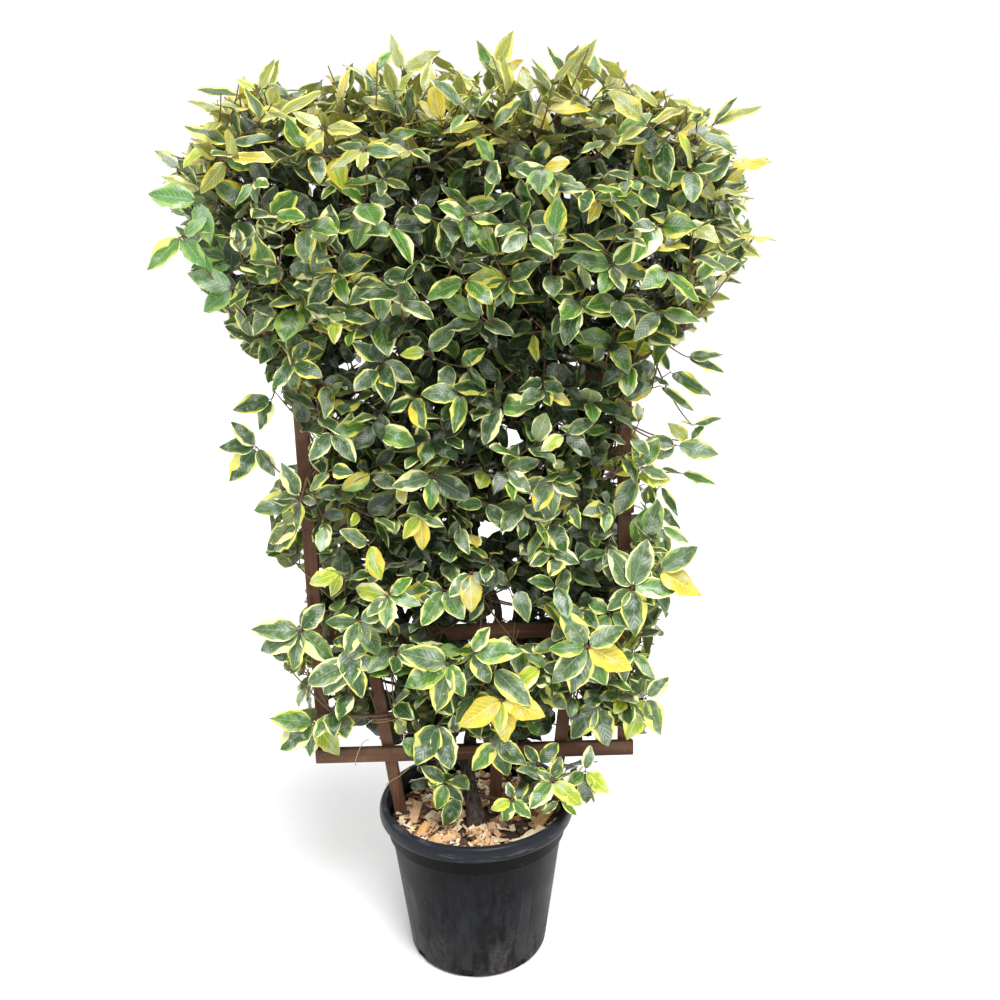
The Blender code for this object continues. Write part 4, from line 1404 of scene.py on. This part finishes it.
# leaves that stand out in the photo, in millimetres: how a whorl faces and where it is,
# then for each of its leaves the tint and how far across and up the tip is
whorlSet = (
    (
        "front", (150, -125, 419), ("fresh", -40, -50), ("lime", 50, -49), ("deep", 13, 41),
        ("blue", -25, 17),
    ),
    (
        "front", (214, -105, 426), ("fresh", -37, -31), ("lime", 43, -41), ("blue", 9, 46),
        ("deep", 2, -61),
    ),
    (
        "front", (72, -135, 386), ("lime", -36, -18), ("fresh", 32, -34), ("fresh", -14, -40),
        ("deep", -7, 31),
    ),
    (
        "front", (125, -90, 434), ("lime", 16, -43), ("deep", 33, 40), ("deep", -23, 34),
        ("blue", -37, -12),
    ),
    ("edge", (163, -130, 380), ("deep", -29, -25), ("fresh", 29, -26)),
    (
        "front", (55, -140, 593), ("golden", -75, -49), ("lime", -6, -60), ("golden", 6, -99),
        ("golden", 74, -31),
    ),
    ("front", (0, -125, 834), ("golden", 1, -70), ("blue", -35, -41), ("deep", 32, -21)),
    ("front", (-88, -105, 937), ("golden", 0, -60), ("lime", -30, -39), ("fresh", 36, -19)),
    (
        "front", (-43, -150, 669), ("blue", -81, 21), ("fresh", -76, -40), ("blue", -22, -86),
        ("fresh", 26, -59),
    ),
    ("front", (1, -150, 688), ("fresh", 86, 5), ("fresh", 28, 44), ("deep", 30, -55)),
    ("front", (41, -135, 650), ("blue", 66, -66)),
    (
        "front", (211, -150, 698), ("blue", -44, 66), ("fresh", -64, -3), ("blue", -73, -77),
        ("deep", -38, -111), ("blue", 63, 35), ("golden", 83, -44), ("fresh", 32, -68),
    ),
    (
        "front", (295, -125, 800), ("blue", -40, -38), ("blue", -39, 68), ("blue", 24, 84),
        ("fresh", 75, -1), ("deep", 9, -94),
    ),
    ("front", (344, -120, 830), ("blue", 64, 41), ("golden", 74, -41)),
    (
        "front", (-324, -85, 713), ("blue", -86, 3), ("blue", -74, -37), ("blue", -17, -72),
        ("fresh", 55, -61), ("deep", 44, 47),
    ),
    (
        "front", (-314, -60, 514), ("fresh", -78, 10), ("deep", -66, -54), ("blue", -11, -66),
        ("lime", 44, -64),
    ),
    (
        "front", (-229, -110, 660), ("blue", -75, -39), ("blue", -48, -61), ("deep", 18, -68),
        ("blue", 56, -7), ("blue", 35, 82),
    ),
    (
        "front", (336, -60, 555), ("blue", 38, 39), ("deep", -28, 36), ("blue", 29, -72),
        ("lime", -38, -94),
    ),
    ("front", (239, -70, 550), ("deep", -46, -68), ("deep", 24, -89)),
    ("front", (-67, -110, 530), ("deep", -46, -82), ("deep", 21, -91)),
    ("front", (42, -110, 492), ("fresh", -43, -53), ("deep", 20, -65), ("deep", 53, -42)),
    ("front", (-57, -85, 394), ("fresh", -19, -51), ("deep", 29, -35), ("deep", -42, 33)),
    ("front", (-32, -85, 365), ("deep", -29, -60)),
    ("front", (-454, -185, 1421), ("fresh", -54, -46), ("plain", 31, -43), ("plain", 38, 27)),
    ("front", (-423, -185, 1477), ("plain", -70, 10), ("plain", 10, -62)),
    ("front", (-381, -165, 1340), ("plain", -47, -33), ("plain", -66, 23)),
    ("front", (-363, -30, 1144), ("deep", -68, -16), ("deep", -26, -52)),
    (
        "front", (-397, -30, 1054), ("deep", -40, 44), ("deep", -63, 3), ("deep", -51, -58),
        ("blue", 27, -50),
    ),
    (
        "front", (-317, -60, 964), ("blue", -79, -20), ("blue", -9, -57), ("blue", 27, -10),
        ("blue", -26, 59),
    ),
    ("front", (-324, -50, 910), ("blue", -53, -30), ("deep", -69, -55)),
    ("front", (-239, -100, 830), ("lime", -54, -17), ("lime", -19, -42)),
    ("edge", (388, 50, 1178), ("deep", 75, -41), ("deep", -26, 52)),
    ("edge", (346, 20, 1173), ("deep", 31, -14)), ("edge", (365, 30, 1154), ("deep", 62, -43)),
    ("edge", (420, 50, 1207), ("blue", 61, 5), ("deep", 68, -26)),
    ("front", (390, -20, 1046), ("blue", 74, -16), ("blue", -40, -22), ("deep", -51, 11)),
    ("front", (416, -15, 1053), ("olive", -38, 31), ("deep", 22, 27)),
    ("edge", (421, -10, 1082), ("blue", 47, 15), ("golden", -17, 8)),
    (
        "front", (318, -60, 1013), ("fresh", 27, 48), ("fresh", -15, 31), ("lime", -65, 4),
        ("blue", 44, -17),
    ),
    ("front", (308, -65, 996), ("lime", 65, -8), ("blue", -34, -67)),
    ("edge", (403, 0, 989), ("fresh", 65, -18), ("blue", -31, 10)),
    ("edge", (370, 30, 959), ("deep", 35, -55)),
    ("edge", (356, 20, 920), ("deep", 49, -40), ("deep", -7, 32)),
    ("edge", (365, -20, 890), ("fresh", 50, -30), ("deep", -43, -1), ("blue", 11, -65)),
    ("edge", (450, -90, 1531), ("golden", 67, 12)),
    ("edge", (429, -60, 1605), ("olive", 74, 28), ("deep", 33, 43)),
    ("edge", (457, -130, 1413), ("golden", 64, -1), ("olive", 38, -28)),
    ("edge", (-469, -120, 1533), ("blue", -34, 29), ("olive", -25, -17)),
    ("up", (238, -120, 1639), ("golden", 29, 35), ("olive", 17, 47)),
    ("up", (-332, -120, 1653), ("olive", 26, 44), ("lime", -28, 16)),
    ("up", (-99, -80, 1691), ("olive", -15, 53), ("olive", 58, 30)),
    ("up", (56, -80, 1683), ("fresh", -26, 48), ("olive", 27, 65), ("golden", 42, 21)),
    ("up", (177, -60, 1680), ("olive", 47, 58), ("blue", -27, 47)),
    ("up", (-32, -160, 1596), ("golden", -31, 29), ("golden", -11, 66)),
    ("edge", (-14, -190, 1546), ("golden", 54, 26)),
    ("front", (-64, -150, 1231), ("lime", -41, -3), ("blue", 42, 40)),
    ("edge", (-368, -100, 1652), ("blue", -62, 14)), ("up", (-366, -60, 1637), ("golden", -2, 48)),
    ("edge", (-383, -120, 1617), ("olive", -57, 23)), ("up", (-329, -90, 1657), ("olive", 25, 46)),
    ("edge", (-371, -170, 1564), ("blue", -63, 28), ("deep", 68, 10)),
    ("edge", (-480, -100, 1557), ("olive", -28, 9), ("blue", 27, -37)),
    ("edge", (-430, -140, 1494), ("olive", -55, 25)), ("up", (-411, -50, 1594), ("golden", 1, 33)),
    ("edge", (-299, -140, 1610), ("olive", 74, 39)), ("edge", (-417, -120, 1548), ("golden", -34, -5)),
    ("edge", (331, -100, 1624), ("olive", -41, 35)), ("edge", (414, -90, 1617), ("olive", -53, 22)),
    ("edge", (367, -140, 1618), ("olive", -52, -19)),
    ("edge", (404, -130, 1549), ("olive", -54, 23), ("deep", 43, 10)),
    ("front", (399, -160, 1497), ("blue", 32, 40)), ("edge", (419, -100, 1489), ("olive", 56, 3)),
    ("edge", (433, -70, 1473), ("olive", 61, 13)),
    ("edge", (477, -50, 1393), ("olive", 44, -4), ("deep", 16, -23)),
    ("front", (386, -150, 1367), ("blue", 67, 7)), ("edge", (438, -60, 1352), ("deep", 45, -7)),
    ("edge", (408, -80, 1322), ("olive", 50, -6)), ("edge", (414, -40, 1309), ("deep", 19, -30)),
)
whorlShape = {
    "longest": 0.090,
    "stretch": 1.02,
    "tries": 8,
    "forward": (0.10, 0.05),  # at the first try, and more for each one after
    "turnBack": 4,
    "spin": 0.16,
    "droop": (0.02, 0.10),
    "faces": {"front": (0, -1, 0.5), "edge": (0, -0.80, 1), "up": (0, -1, 0.25)},
    "wide": {"front": (0.52, 0.60), "edge": (0.38, 0.50), "up": (0.36, 0.46)},
}
whorlMargins = {"golden": "gold", "plain": "green", "lime": "yellow"}


def whorlTints(tint, rng):
    margin = whorlMargins.get(tint, rng.choice(("yellow", "cream")))
    return tint, margin, "bronze" if tint in ("golden", "olive", "lime") else "silver"


def growWhorls(foliage):
    rng = random.Random(17)
    hubs = []
    first, more = whorlShape["forward"]
    for facing, place, *leaves in whorlSet:
        hub = Vector(metres(place))
        grown = 0
        for tint, *shift in leaves:
            across, rise = metres(shift)
            flat = Vector((across, 0, rise))
            long = min(flat.length * whorlShape["stretch"], whorlShape["longest"])
            tints = whorlTints(tint, rng)
            for attempt in range(whorlShape["tries"]):
                isBack = attempt >= whorlShape["turnBack"]
                forward = rng.uniform(0.0, first + more * attempt) * (-1 if isBack else 1)
                way = (flat.normalized() - Vector((0, forward, 0))).normalized()
                face = Vector(whorlShape["faces"][facing]) + wobble(rng, whorlShape["spin"])
                wide = long * rng.uniform(*whorlShape["wide"][facing])
                droop = rng.uniform(*whorlShape["droop"])
                if foliage.setLeaf(hub, way, face.normalized(), long, wide, droop, tints, rng):
                    grown += 1
                    break
        if grown:
            hubs.append(hub)
    print("whorls from the photo:", len(hubs))
    return hubs


scatterSet = {
    "bottom": 0.46,
    "top": 1.63,
    "rise": 0.076,
    "across": 0.088,
    "first": (0.02, 0.09),
    "edge": 0.02,
    "jitter": 0.022,
    "apart": 0.062,
    "deep": (0.60, 0.92),
    "turned": 0.35,
    "up": (0.1, 1.0),
    "highUp": 0.4,
    "leaves": (2, 5),
    "fan": (3.4, 5.4),
    "turn": 0.40,
    "tries": 4,
    "stray": 0.22,
    "forward": (-0.15, 0.40),
    "long": (0.046, 0.073),
    "wide": (0.50, 0.62),
    "highOver": 1.46,
    "endOver": 0.43,
    "highWide": (0.40, 0.52),
    "shortOver": 0.4,
    "short": 0.8,
    "spin": 0.16,
    "droop": (0.03, 0.18),
}
seenPlane = -0.001  # just in front of the trellis


def growFan(foliage, hub, look, rng):
    # one whorl's leaves, fanned out round the way it looks
    side = look.cross(Vector((0, 0, 1))).normalized()
    over = side.cross(look)
    count, grown = rng.randint(*scatterSet["leaves"]), 0
    fan = rng.uniform(*scatterSet["fan"]) * (count - 1) / count
    turn = -math.pi / 2 + rng.gauss(0, scatterSet["turn"]) - fan / 2
    isHigh = hub.z > scatterSet["highOver"]
    for index in range(count):
        for attempt in range(scatterSet["tries"]):
            angle = turn + fan * index / (count - 1) + rng.uniform(-scatterSet["stray"], scatterSet["stray"])
            flat = side * math.cos(angle) + over * math.sin(angle)
            way = (flat + look * rng.uniform(*scatterSet["forward"])).normalized()
            isShort = isHigh or flat.z > scatterSet["shortOver"]
            long = rng.uniform(*scatterSet["long"]) * (scatterSet["short"] if isShort else 1.0)
            wide = long * rng.uniform(*scatterSet["highWide" if isHigh else "wide"])
            tip = hub + way * long
            if not showsWell([tip, hub.lerp(tip, 0.5)]) or tip.y < leafSet["front"]:
                continue
            face = (look + wobble(rng, scatterSet["spin"])).normalized()
            droop = rng.uniform(*scatterSet["droop"])
            if foliage.setLeaf(hub, way, face, long, wide, droop, pickTints(tip, rng), rng):
                grown += 1
                break
    return grown


def scatterWhorls(foliage, hubs):
    # more whorls all over the front, looking out between those of the photo
    rng = random.Random(23)
    eye = Vector(cameraSet["place"])
    taken = list(hubs)
    height = scatterSet["bottom"]
    while height < scatterSet["top"]:
        left, right = sideEdges(height)
        across = left + rng.uniform(*scatterSet["first"])
        while across < right - scatterSet["edge"]:
            jitter = Vector((rng.uniform(-1, 1), 0, rng.uniform(-1, 1))) * scatterSet["jitter"]
            seen = Vector((across, seenPlane, height)) + jitter
            across += scatterSet["across"]
            deep = crownFace(seen) * rng.uniform(*scatterSet["deep"])
            hub = eye + (seen - eye) * ((-deep - eye.y) / -eye.y)
            isEnd = abs(hub.x) > scatterSet["endOver"] and atSide(hub)
            isNear = any((hub - other).length < scatterSet["apart"] for other in taken)
            if isEnd or isNear or not showsWell([hub]):
                continue
            turned = rng.gauss(0, scatterSet["turned"])
            up = rng.uniform(*scatterSet["up"])
            up += scatterSet["highUp"] if seen.z > scatterSet["highOver"] else 0
            if growFan(foliage, hub, Vector((turned, -1, up)).normalized(), rng):
                taken.append(hub)
        height += scatterSet["rise"]
    return taken


def crosses(path, pieces):
    # whether a path runs through one of the pieces
    for start, end in zip(path, path[1:]):
        way = end - start
        if any(piece.ray_cast(start, way.normalized(), way.length)[0] for piece in pieces):
            return True
    return False


def stemFinder(foliage):
    # finds the points of shoots and stems near a place
    stems = [point for path, _ in foliage.twigs if len(path) > 3 for point in path]
    finder = KDTree(len(stems))
    for index, point in enumerate(stems):
        finder.insert(point, index)
    finder.balance()
    return finder


linkSet = {"behind": (0, 0.04, -0.01), "tries": 90, "bends": 7, "shortest": 0.03, "radii": (0.0019, 0.0012)}


def linkWhorls(foliage, hubs, laths):
    # a twig from each whorl back to a shoot or stem near it
    finder = stemFinder(foliage)
    for hub in hubs:
        path = None
        for start, _, distance in finder.find_n(hub + Vector(linkSet["behind"]), linkSet["tries"]):
            path = bendPath(start, hub, Vector((0, -1, 0)), linkSet["bends"])
            if distance > linkSet["shortest"] and not crosses(path, laths) and showsWell(path[:-2]):
                break
        foliage.twigs.append((path, taperAlong(len(path), linkSet["radii"])))


bendSet = {"at": 0.55, "sag": 0.16, "in": 0.02}


def bendPath(start, end, out, count):
    # leaves its stem sideways and turns up towards its tip
    middle = start.lerp(end, bendSet["at"])
    middle = middle - Vector((0, 0, bendSet["sag"])) * (end - start).length - out * bendSet["in"]
    shares = [index / count for index in range(count + 1)]
    return [start * (1 - t) ** 2 + middle * 2 * t * (1 - t) + end * t**2 for t in shares]


stemSet = {
    "onPath": 6,
    "boughFrom": 8,
    "trunkFrom": 10,
    "footStep": 3,
    "footTries": 60,
    "hubDeep": 0.55,
    "hubDrop": 0.03,
    "hubOut": 0.6,
    "radii": (0.0042, 0.0026),
    "shootFrom": 2,
    "shootBack": 0.06,
    "shootRadii": (0.0022, 0.0010),
}


def nearestFoot(hub, limbPaths, laths):
    # the nearest place on a limb with no lath in between
    spots = sorted(((point - hub).length, point) for path in limbPaths for point in path)
    for _, point in spots[:: stemSet["footStep"]][: stemSet["footTries"]]:
        if not crosses([point, hub], laths):
            return point
    return spots[0][1]


def growMass(foliage, name, middles, limbPaths, laths):
    # a stem from the limbs, and shoots from the stem to all sides
    rng = random.Random(f"11 {name}")
    space = Space(name, middles)
    middle = middles[name]
    isSpray = name in crownSet["sprays"]
    hub = Vector((middle.x, middle.y * stemSet["hubDeep"], middle.z - stemSet["hubDrop"]))
    paths = [limbPaths["trunk"]] if isSpray else list(limbPaths.values())
    foot = nearestFoot(hub, paths, laths)
    stem = bendPath(foot, hub.lerp(middle, stemSet["hubOut"]), Vector((0, 0, 0)), stemSet["onPath"])
    foliage.twigs.append((stem, taperAlong(len(stem), stemSet["radii"])))
    for tip in space.tips(leafSet["sprayShoots" if isSpray else "shoots"], rng):
        out = space.outward(tip)
        near = tip - out * stemSet["shootBack"]
        start = min(stem[stemSet["shootFrom"] :], key=lambda point: (point - near).length)
        path = bendPath(start, tip, out, stemSet["onPath"])
        if not crosses(path, laths):
            radii = taperAlong(len(path), stemSet["shootRadii"])
            foliage.growShoot(path, radii, space, rng, leafSet["onShoot"])


frontFill = {
    "step": 0.020,
    "bottom": 0.40,
    "top": 1.70,
    "depth": (0.022, 0.085),
    "reach": 0.16,
    "onShoot": 5,
    "inner": False,
}
backFill = {
    "step": 0.011,
    "bottom": 0.42,
    "top": 1.66,
    "depth": (-0.075, -0.020),
    "reach": 0.16,
    "onShoot": 4,
    "inner": True,
}
closeFill = {**backFill, "step": 0.008, "top": 1.64, "depth": (-0.075, -0.010), "reach": 0.18}
fillRounds = (frontFill, frontFill, backFill, backFill, closeFill)
gapSet = {
    "edge": 0.035,
    "jitter": 0.006,
    "lathFront": -0.008,
    "highOver": 1.25,
    "highOut": 1.6,
    "near": (0, 0.03, -0.03),
    "bends": 5,
    "radii": (0.0017, 0.0009),
}


def isGap(eye, way, leafTree, laths, inner):
    # whether a lath or the sky shows along a line of sight
    leafHit = leafTree.ray_cast(eye, way)[0]
    lathHit = any(lath.ray_cast(eye, way)[0] for lath in laths)
    if leafHit and (leafHit.y < gapSet["lathFront"] or not lathHit):
        return False
    return not (inner and lathHit)


def fillGaps(foliage, middles, laths, number, fill):
    # short shoots where the laths or the sky would show and the photo has leaves
    rng = random.Random(31 + number)
    eye = Vector(cameraSet["place"])
    corners, faces = [], []
    for proxy in foliage.proxies:
        faces += [[len(corners) + index for index in face] for face in proxyFaces]
        corners += proxy
    leafTree = BVHTree.FromPolygons(corners, faces)
    finder = stemFinder(foliage)
    layer = "back" if fill["inner"] else "front"
    spaces = {name: Space(name, middles) for name in middles if layer in name}
    height = fill["bottom"]
    while height < fill["top"]:
        isHigh = height > gapSet["highOver"] and not fill["inner"]
        left, right = sideEdges(height)
        across = left + gapSet["edge"]
        while across < right - gapSet["edge"]:
            shift = [rng.uniform(-gapSet["jitter"], gapSet["jitter"]) for _ in range(2)]
            target = Vector((across + shift[0], seenPlane, height + shift[1]))
            across += fill["step"]
            if not showsWell([target]):
                continue
            way = (target - eye).normalized()
            if not isGap(eye, way, leafTree, laths, fill["inner"]):
                continue
            deep = rng.uniform(*fill["depth"]) * (gapSet["highOut"] if isHigh else 1.0)
            tip = eye + way * ((-deep - eye.y) / way.y)
            start = finder.find(tip + Vector(gapSet["near"]))[0]
            if (start - tip).length > fill["reach"]:
                continue
            name = min(spaces, key=lambda mass: (middles[mass] - tip).length)
            path = bendPath(start, tip, Vector((0, -1, 0)), gapSet["bends"])
            if not crosses(path, laths):
                radii = taperAlong(len(path), gapSet["radii"])
                foliage.growShoot(path, radii, spaces[name], rng, fill["onShoot"], fill["inner"])
        height += fill["step"]


def growCrown():
    laths = [treeOf(node.data) for node in lathNodes().values()]
    foliage = Foliage([*laths, treeOf(bark.data), treeOf(nodes["pot"].data)])
    onPath = stemSet["onPath"]
    limbPaths = {}
    for name, bough in boughSet.items():
        limbPaths[name] = smoothPath(bough["points"], onPath)[stemSet["boughFrom"] :]
    limbPaths["trunk"] = smoothPath(trunkSet["points"], onPath)[stemSet["trunkFrom"] :]
    middles = massMiddles()
    hubs = scatterWhorls(foliage, growWhorls(foliage))
    print("whorls:", len(hubs), "with", len(foliage.leaves), "leaves")
    for name in sorted(middles, key=lambda key: (middles[key].y, key)):
        growMass(foliage, name, middles, limbPaths, laths)
    print("crown:", len(foliage.leaves), "leaves", len(foliage.twigs), "twigs")
    for number, fill in enumerate(fillRounds):
        fillGaps(foliage, middles, laths, number, fill)
    linkWhorls(foliage, hubs, laths)
    print("filled:", len(foliage.leaves), "leaves", len(foliage.twigs), "twigs")
    return foliage, list(middles)


def tubeArrays(tubes, sides):
    points, faces, start = [], [], 0
    for path, radii in tubes:
        path = np.array([point[:] for point in path])
        ways = np.gradient(path, axis=0)
        ways /= np.linalg.norm(ways, axis=1)[:, None]
        first = np.cross(ways, np.array((0.31, 0.17, 0.94)))
        first /= np.linalg.norm(first, axis=1)[:, None]
        second = np.cross(ways, first)
        angles = np.linspace(0, math.tau, sides, endpoint=False)
        cosines, sines = np.cos(angles)[None, :, None], np.sin(angles)[None, :, None]
        ring = first[:, None] * cosines + second[:, None] * sines
        points.append((path[:, None] + ring * np.array(radii)[:, None, None]).reshape(-1, 3))
        rows, around = np.meshgrid(np.arange(len(path) - 1), np.arange(sides), indexing="ij")
        after = (around + 1) % sides
        corners = ((rows, around), (rows, after), (rows + 1, after), (rows + 1, around))
        quads = np.stack([row * sides + column for row, column in corners], -1)
        faces.append(quads.reshape(-1, 4) + start)
        start += len(path) * sides
    return np.concatenate(points), np.concatenate(faces)


def twigMaterial():
    material, tree, shader = startMaterial("brown twig", 0.75, Specular_IOR_Level=0.3)
    fleck = noiseOf(tree, objectPlace(tree), 260.0, 3.0)
    length = noiseOf(tree, objectPlace(tree), 14.0, 2.0)
    base = mixOf(tree, greyRamp(tree, fleck, 0.35, 0.65), (0.100, 0.052, 0.028), (0.235, 0.140, 0.075))
    old = greyRamp(tree, length, 0.4, 0.65, 0.0, 0.6)
    colorInto(tree, shader, mixOf(tree, old, base, (0.16, 0.13, 0.085)))
    bumpInto(tree, shader, fleck, 0.4, 0.0005)
    return material


veinSet = {"blade": 0.55, "under": 0.25, "old": 0.4, "margin": 0.0}


def lighter(color, times, plus=0.0):
    return tuple(min(1.0, value * times + plus) for value in color)


def leafMaterial(name, color, veins):
    vary = 0.25
    coat = {"Specular_IOR_Level": 0.22, "Coat_Weight": 0.45, "Coat_Roughness": 0.15}
    material, tree, shader = startMaterial(name, 0.40, **coat)
    broad = noiseOf(tree, objectPlace(tree), 22.0, 2.0)
    mottle = noiseOf(tree, objectPlace(tree), 110.0, 3.0)
    dark, pale = lighter(color, 1 - vary), lighter(color, 1 + vary)
    base = mixOf(tree, greyRamp(tree, broad, 0.32, 0.68), dark, pale)
    base = mixOf(tree, greyRamp(tree, mottle, 0.48, 0.75, 0.0, 0.35), base, lighter(color, 1.5, 0.02))
    height = mottle
    if veins:
        place = addNode(tree, "ShaderNodeUVMap", uv_map="leafPlace").outputs[0]
        split = addNode(tree, "ShaderNodeSeparateXYZ", {0: place})
        away = mathOf(tree, "ABSOLUTE", split.outputs["Y"], 0.0)
        run = mathOf(tree, "SUBTRACT", timesOf(tree, split.outputs["X"], 8.5), timesOf(tree, away, 2.4))
        fold = mathOf(tree, "PINGPONG", run, 0.5)
        side = greyRamp(tree, fold, 0.0, 0.14, veins, 0.0)
        rib = greyRamp(tree, away, 0.020, 0.060, 1.0, 0.0)
        vein = mathOf(tree, "MAXIMUM", side, rib)
        base = mixOf(tree, vein, base, lighter(color, 1.8, 0.05))
        # pale patches of silvery scales, partly a painted sheen, mostly between the side veins
        scalesAndSheen = greyRamp(tree, noiseOf(tree, objectPlace(tree), 34.0, 2.0), 0.49, 0.65, 0.0, veins)
        scalesAndSheen = timesOf(tree, scalesAndSheen, greyRamp(tree, fold, 0.05, 0.35, 0.25, 1.0))
        base = mixOf(tree, scalesAndSheen, base, scalesAndSheenTint)
        height = mathOf(tree, "ADD", timesOf(tree, mottle, 0.3), greyRamp(tree, fold, 0.0, 0.32))
        height = mathOf(tree, "SUBTRACT", height, rib)
    colorInto(tree, shader, base)
    tree.links.new(greyRamp(tree, mottle, 0.3, 0.7, 0.34, 0.52), shader.inputs["Roughness"])
    bumpInto(tree, shader, height, 0.5, 0.0008)
    return material


bladeSet = {
    "footWide": 0.012,
    "leastWide": 0.04,
    # how far out the green reaches on a side, as a share of the half width
    "green": (0.90, 0.82, 0.60),
    "greenOdds": (0.60, 0.28, 0.12),
    "greenUneven": 0.075,
    "greenEnds": (0.12, 0.95),
    # a bay of the margin's colour in the green
    "bayOdds": 0.5,
    "bayAt": (0.30, 1.00),
    "bayReach": (0.08, 0.24),
    "bayDeep": (0.10, 0.66),
    "core": (0.5, 0.92),
    "coreEnds": (0.08, 0.90),
    "rimUneven": 0.055,
    "teeth": 0.02,
    "droopShort": 0.10,
    "droopCurve": 1.8,
    "flatRim": 0.55,
    "waves": 1.6,
}


def sideColumns(count, t, rng):
    # rim, edge of the zone and edge of the core on one side of every leaf
    shape = (count, len(t))
    edge = rng.choice(bladeSet["green"], (count, 1), p=bladeSet["greenOdds"])
    edge = edge + rng.normal(0, bladeSet["greenUneven"], shape)
    middle = rng.uniform(*bladeSet["bayAt"], (count, 1))
    reach = rng.uniform(*bladeSet["bayReach"], (count, 1))
    hasBay = rng.random((count, 1)) < bladeSet["bayOdds"]
    deep = np.where(hasBay, rng.uniform(*bladeSet["bayDeep"], (count, 1)), 0.0)
    edge = np.clip(edge - deep * np.exp(-(((t - middle) / reach) ** 2)), *bladeSet["greenEnds"])
    inner = np.clip(edge * rng.uniform(*bladeSet["core"], shape), *bladeSet["coreEnds"])
    rim = 1.0 + rng.normal(0, bladeSet["rimUneven"], shape) + bladeSet["teeth"] * (-1) ** np.arange(len(t))
    return rim, edge, inner


def leafShapes(leaves):
    # every leaf's points: leaf, station along it, column across it
    rng = np.random.default_rng(3)
    count = len(leaves)
    t = np.array(leafSet["stations"])
    baseCurve = rng.uniform(*leafSet["baseCurve"], (count, 1))
    tipCurve = rng.uniform(*leafSet["tipCurve"], (count, 1))
    half = (t + bladeSet["footWide"]) ** baseCurve * (1.0 - t) ** tipCurve
    half = np.maximum(half / half.max(axis=1, keepdims=True), bladeSet["leastWide"])
    root, way, across, up = (np.array([leaf[index][:] for leaf in leaves]) for index in range(4))
    shapes = np.array([leaf[4] for leaf in leaves])
    long, wide, keel, droop, wave, phase = (shapes[:, index, None] for index in range(6))
    left = [-column for column in sideColumns(count, t, rng)]
    right = sideColumns(count, t, rng)
    columns = np.stack((*left, np.zeros((count, len(t))), *reversed(right)), axis=2)
    y = columns * (half * wide / 2)[:, :, None]
    away = np.abs(columns)
    x = long * t[None, :] * (1 - bladeSet["droopShort"] * droop)
    rise = keel[:, :, None] * np.abs(y) * (1 - bladeSet["flatRim"] * away)
    ripple = wave * long * np.sin(math.tau * bladeSet["waves"] * t[None, :] + phase)
    rise = rise + ripple[:, :, None] * away**2
    rise = rise - (droop * long * t[None, :] ** bladeSet["droopCurve"])[:, :, None]
    points = root[:, None, None] + x[:, :, None, None] * way[:, None, None]
    points = points + y[..., None] * across[:, None, None] + rise[..., None] * up[:, None, None]
    place = np.stack((np.broadcast_to(t[None, :, None], columns.shape), columns), -1)
    return points, place, up


def stripMesh(points, place, chosen, columns, flip):
    # the quads between neighbouring columns of the chosen leaves
    points, place = points[chosen][:, :, columns], place[chosen][:, :, columns]
    count, rows, wide = points.shape[:3]
    i, j = np.meshgrid(np.arange(rows - 1), np.arange(wide - 1), indexing="ij")
    corners = ((i, j), (i + 1, j), (i + 1, j + 1), (i, j + 1))
    quads = np.stack([row * wide + column for row, column in corners], -1).reshape(-1, 4)
    if flip:
        quads = quads[:, ::-1]
    faces = (quads[None] + (np.arange(count) * rows * wide)[:, None, None]).reshape(-1, 4)
    return points.reshape(-1, 3), faces, place.reshape(-1, 2)


def joinStrips(strips):
    points, faces, place, start = [], [], [], 0
    for stripPoints, stripFaces, stripPlace in strips:
        points.append(stripPoints)
        faces.append(stripFaces + start)
        place.append(stripPlace)
        start += len(stripPoints)
    return np.concatenate(points), np.concatenate(faces), np.concatenate(place)


def makeFoliage():
    foliage, masses = growCrown()
    twig = twigMaterial()
    stems = [tube for tube in foliage.twigs if len(tube[0]) > 3]
    stalks = [tube for tube in foliage.twigs if len(tube[0]) == 3]
    newPiece("twigs", meshFromArrays("twigs", *tubeArrays(stems, 4)), twig)
    newPiece("leaf_stalks", meshFromArrays("leaf_stalks", *tubeArrays(stalks, 3)), twig)
    points, place, up = leafShapes(foliage.leaves)
    below = points - up[:, None, None] * leafSet["lift"]
    pieces = []

    def addLeaves(kind, part, tint, color, columns, veins, isUnder=False):
        # a leaf's columns: 0 and 6 its rims, 1 and 5 the zone's edges, 2 and 4 the core's, 3 the midrib
        chosen = np.array([index for index, leaf in enumerate(foliage.leaves) if leaf[5][part] == tint])
        if not len(chosen):
            return
        name = f"leaf_{kind}_{tint}"
        source = below if isUnder else points
        strips = [stripMesh(source, place, chosen, strip, isUnder) for strip in columns]
        material = leafMaterial(f"{tint} leaf {kind}", color, veinSet[veins])
        pieces.append(newPiece(name, meshFromArrays(name, *joinStrips(strips)), material))

    for tint, (core, zone) in tintSet.items():
        addLeaves("centres", 0, tint, core, [[2, 3, 4]], "blade")
        addLeaves("zones", 0, tint, zone, [[1, 2], [4, 5]], "blade")
    for tint, color in marginSet.items():
        addLeaves("margins", 1, tint, color, [[0, 1], [5, 6]], "margin")
    for tint, color in underSet.items():
        addLeaves("undersides", 2, tint, color, [[1, 3, 5]], "under", True)
    # painted shade: dark leaves deep in the crown and among the inner fill
    addLeaves("centres", 0, "shade", shadeSet["core"], [[1, 3, 5]], "old")
    addLeaves("inner", 0, "inner", innerShadeTint, [[0, 3, 6]], "old")
    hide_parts(*masses)
    for piece in pieces:
        print(piece.name, sum(len(face.vertices) - 2 for face in piece.data.polygons))


makeFoliage()
print("foliage done")
